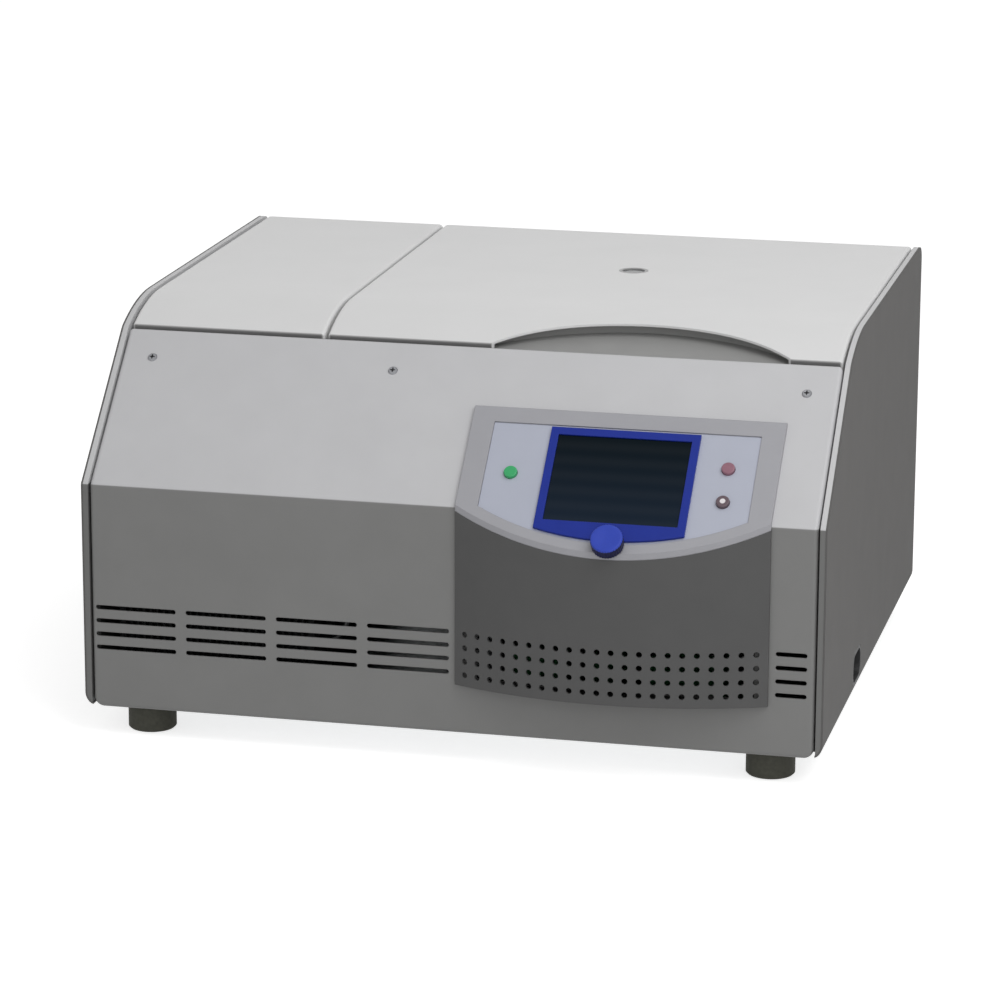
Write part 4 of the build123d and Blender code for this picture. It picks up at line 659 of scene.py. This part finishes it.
# The picture's floor is a pale sweep that stays white to the camera and keeps a soft shadow of the machine.
# A wide soft box hangs over the machine, a second stands to its front right, and the room fills in evenly.
def seen_rays(tree):
    """1 for camera, glossy and transmission rays, and 0 for the rays that only carry light."""
    rays = add(tree, "ShaderNodeLightPath")
    seen = add(tree, "ShaderNodeMath", {
        0: (rays, "Is Camera Ray"), 1: (rays, "Is Glossy Ray")}, operation="MAXIMUM")
    return add(tree, "ShaderNodeMath", {
        0: (seen, "Value"), 1: (rays, "Is Transmission Ray")}, operation="MAXIMUM")


floor_white, tree, shader, place = start_material("pale_floor")
shader.inputs["Base Color"].default_value = linear("#E6E6E6")
shader.inputs["Roughness"].default_value = 0.9
shader.inputs["Specular IOR Level"].default_value = 0.0
seen = seen_rays(tree)
glow = add(tree, "ShaderNodeMath", {0: (seen, "Value"), 1: 0.7}, operation="MULTIPLY")
shader.inputs["Emission Color"].default_value = linear("#FFFFFF")
tree.links.new(glow.outputs["Value"], shader.inputs["Emission Strength"])
bpy.ops.mesh.primitive_plane_add(size=60, location=(0, 0, -0.0005))
floor = bpy.context.object
floor.name = "studio_floor"
floor.data.materials.append(floor_white)

world = bpy.data.worlds.new("soft_room")
bpy.context.scene.world = world
world.use_nodes = True
tree = world.node_tree
tree.nodes.clear()
seen = seen_rays(tree)
room = add(tree, "ShaderNodeBackground", {"Color": linear("#FFFFFF"), "Strength": 0.40})
white = add(tree, "ShaderNodeBackground", {"Color": linear("#FFFFFF"), "Strength": 1.0})
both = add(tree, "ShaderNodeMixShader")
tree.links.new(seen.outputs["Value"], both.inputs[0])
tree.links.new(room.outputs["Background"], both.inputs[1])
tree.links.new(white.outputs["Background"], both.inputs[2])
add(tree, "ShaderNodeOutputWorld", {"Surface": (both, "Shader")})


def soft_box(name, place, aim, size, watts):
    """A square area lamp at a place, facing the point it aims at."""
    lamp = bpy.data.lights.new(name, "AREA")
    lamp.shape = "SQUARE"
    lamp.size = size
    lamp.energy = watts
    holder = bpy.data.objects.new(name, lamp)
    back = np.array(place, float) - np.array(aim, float)
    back /= np.linalg.norm(back)
    right = np.cross((0.0, 1.0, 0.0) if abs(back[2]) > 0.99 else (0.0, 0.0, 1.0), back)
    right /= np.linalg.norm(right)
    turn = np.eye(4)
    turn[:3, 0], turn[:3, 1], turn[:3, 2], turn[:3, 3] = right, np.cross(back, right), back, place
    holder.matrix_world = Matrix(turn.tolist())
    bpy.context.scene.collection.objects.link(holder)
    return holder


soft_box("overhead_soft_box", (1.15, -0.9, 2.15), (0.0, 0.0, 0.2), 1.8, 25)
soft_box("front_right_soft_box", (0.9, -2.8, 1.2), (0.0, 0.0, 0.15), 1.6, 12)


# The camera stands where the photograph was taken, found from the cabinet's straight edges.
# It looks a little down and from the right, through a long lens.
AZIMUTH = math.radians(13.0314)
ELEVATION = math.radians(14.6557)
ROLL = math.radians(0.2148)
FOCAL_PIXELS = 4186.53
CAMERA_PLACE = (790.72, -3222.85, 1067.61)

right = np.array([math.cos(AZIMUTH), math.sin(AZIMUTH), 0.0])
back = np.array([math.sin(AZIMUTH) * math.cos(ELEVATION), -math.cos(AZIMUTH) * math.cos(ELEVATION),
                 math.sin(ELEVATION)])
up = np.cross(back, right)
turned_right = math.cos(ROLL) * right + math.sin(ROLL) * up
turned_up = -math.sin(ROLL) * right + math.cos(ROLL) * up
stand = np.eye(4)
stand[:3, 0], stand[:3, 1], stand[:3, 2], stand[:3, 3] = turned_right, turned_up, back, to_row(CAMERA_PLACE)
lens = bpy.data.cameras.new("photograph_camera")
lens.sensor_width = 36.0
lens.lens = FOCAL_PIXELS * 36.0 / 1000
lens.clip_start, lens.clip_end = 0.1, 100.0
camera = bpy.data.objects.new("photograph_camera", lens)
camera.matrix_world = Matrix(stand.tolist())
bpy.context.scene.collection.objects.link(camera)
bpy.context.scene.camera = camera
bpy.context.scene.view_settings.view_transform = "Standard"
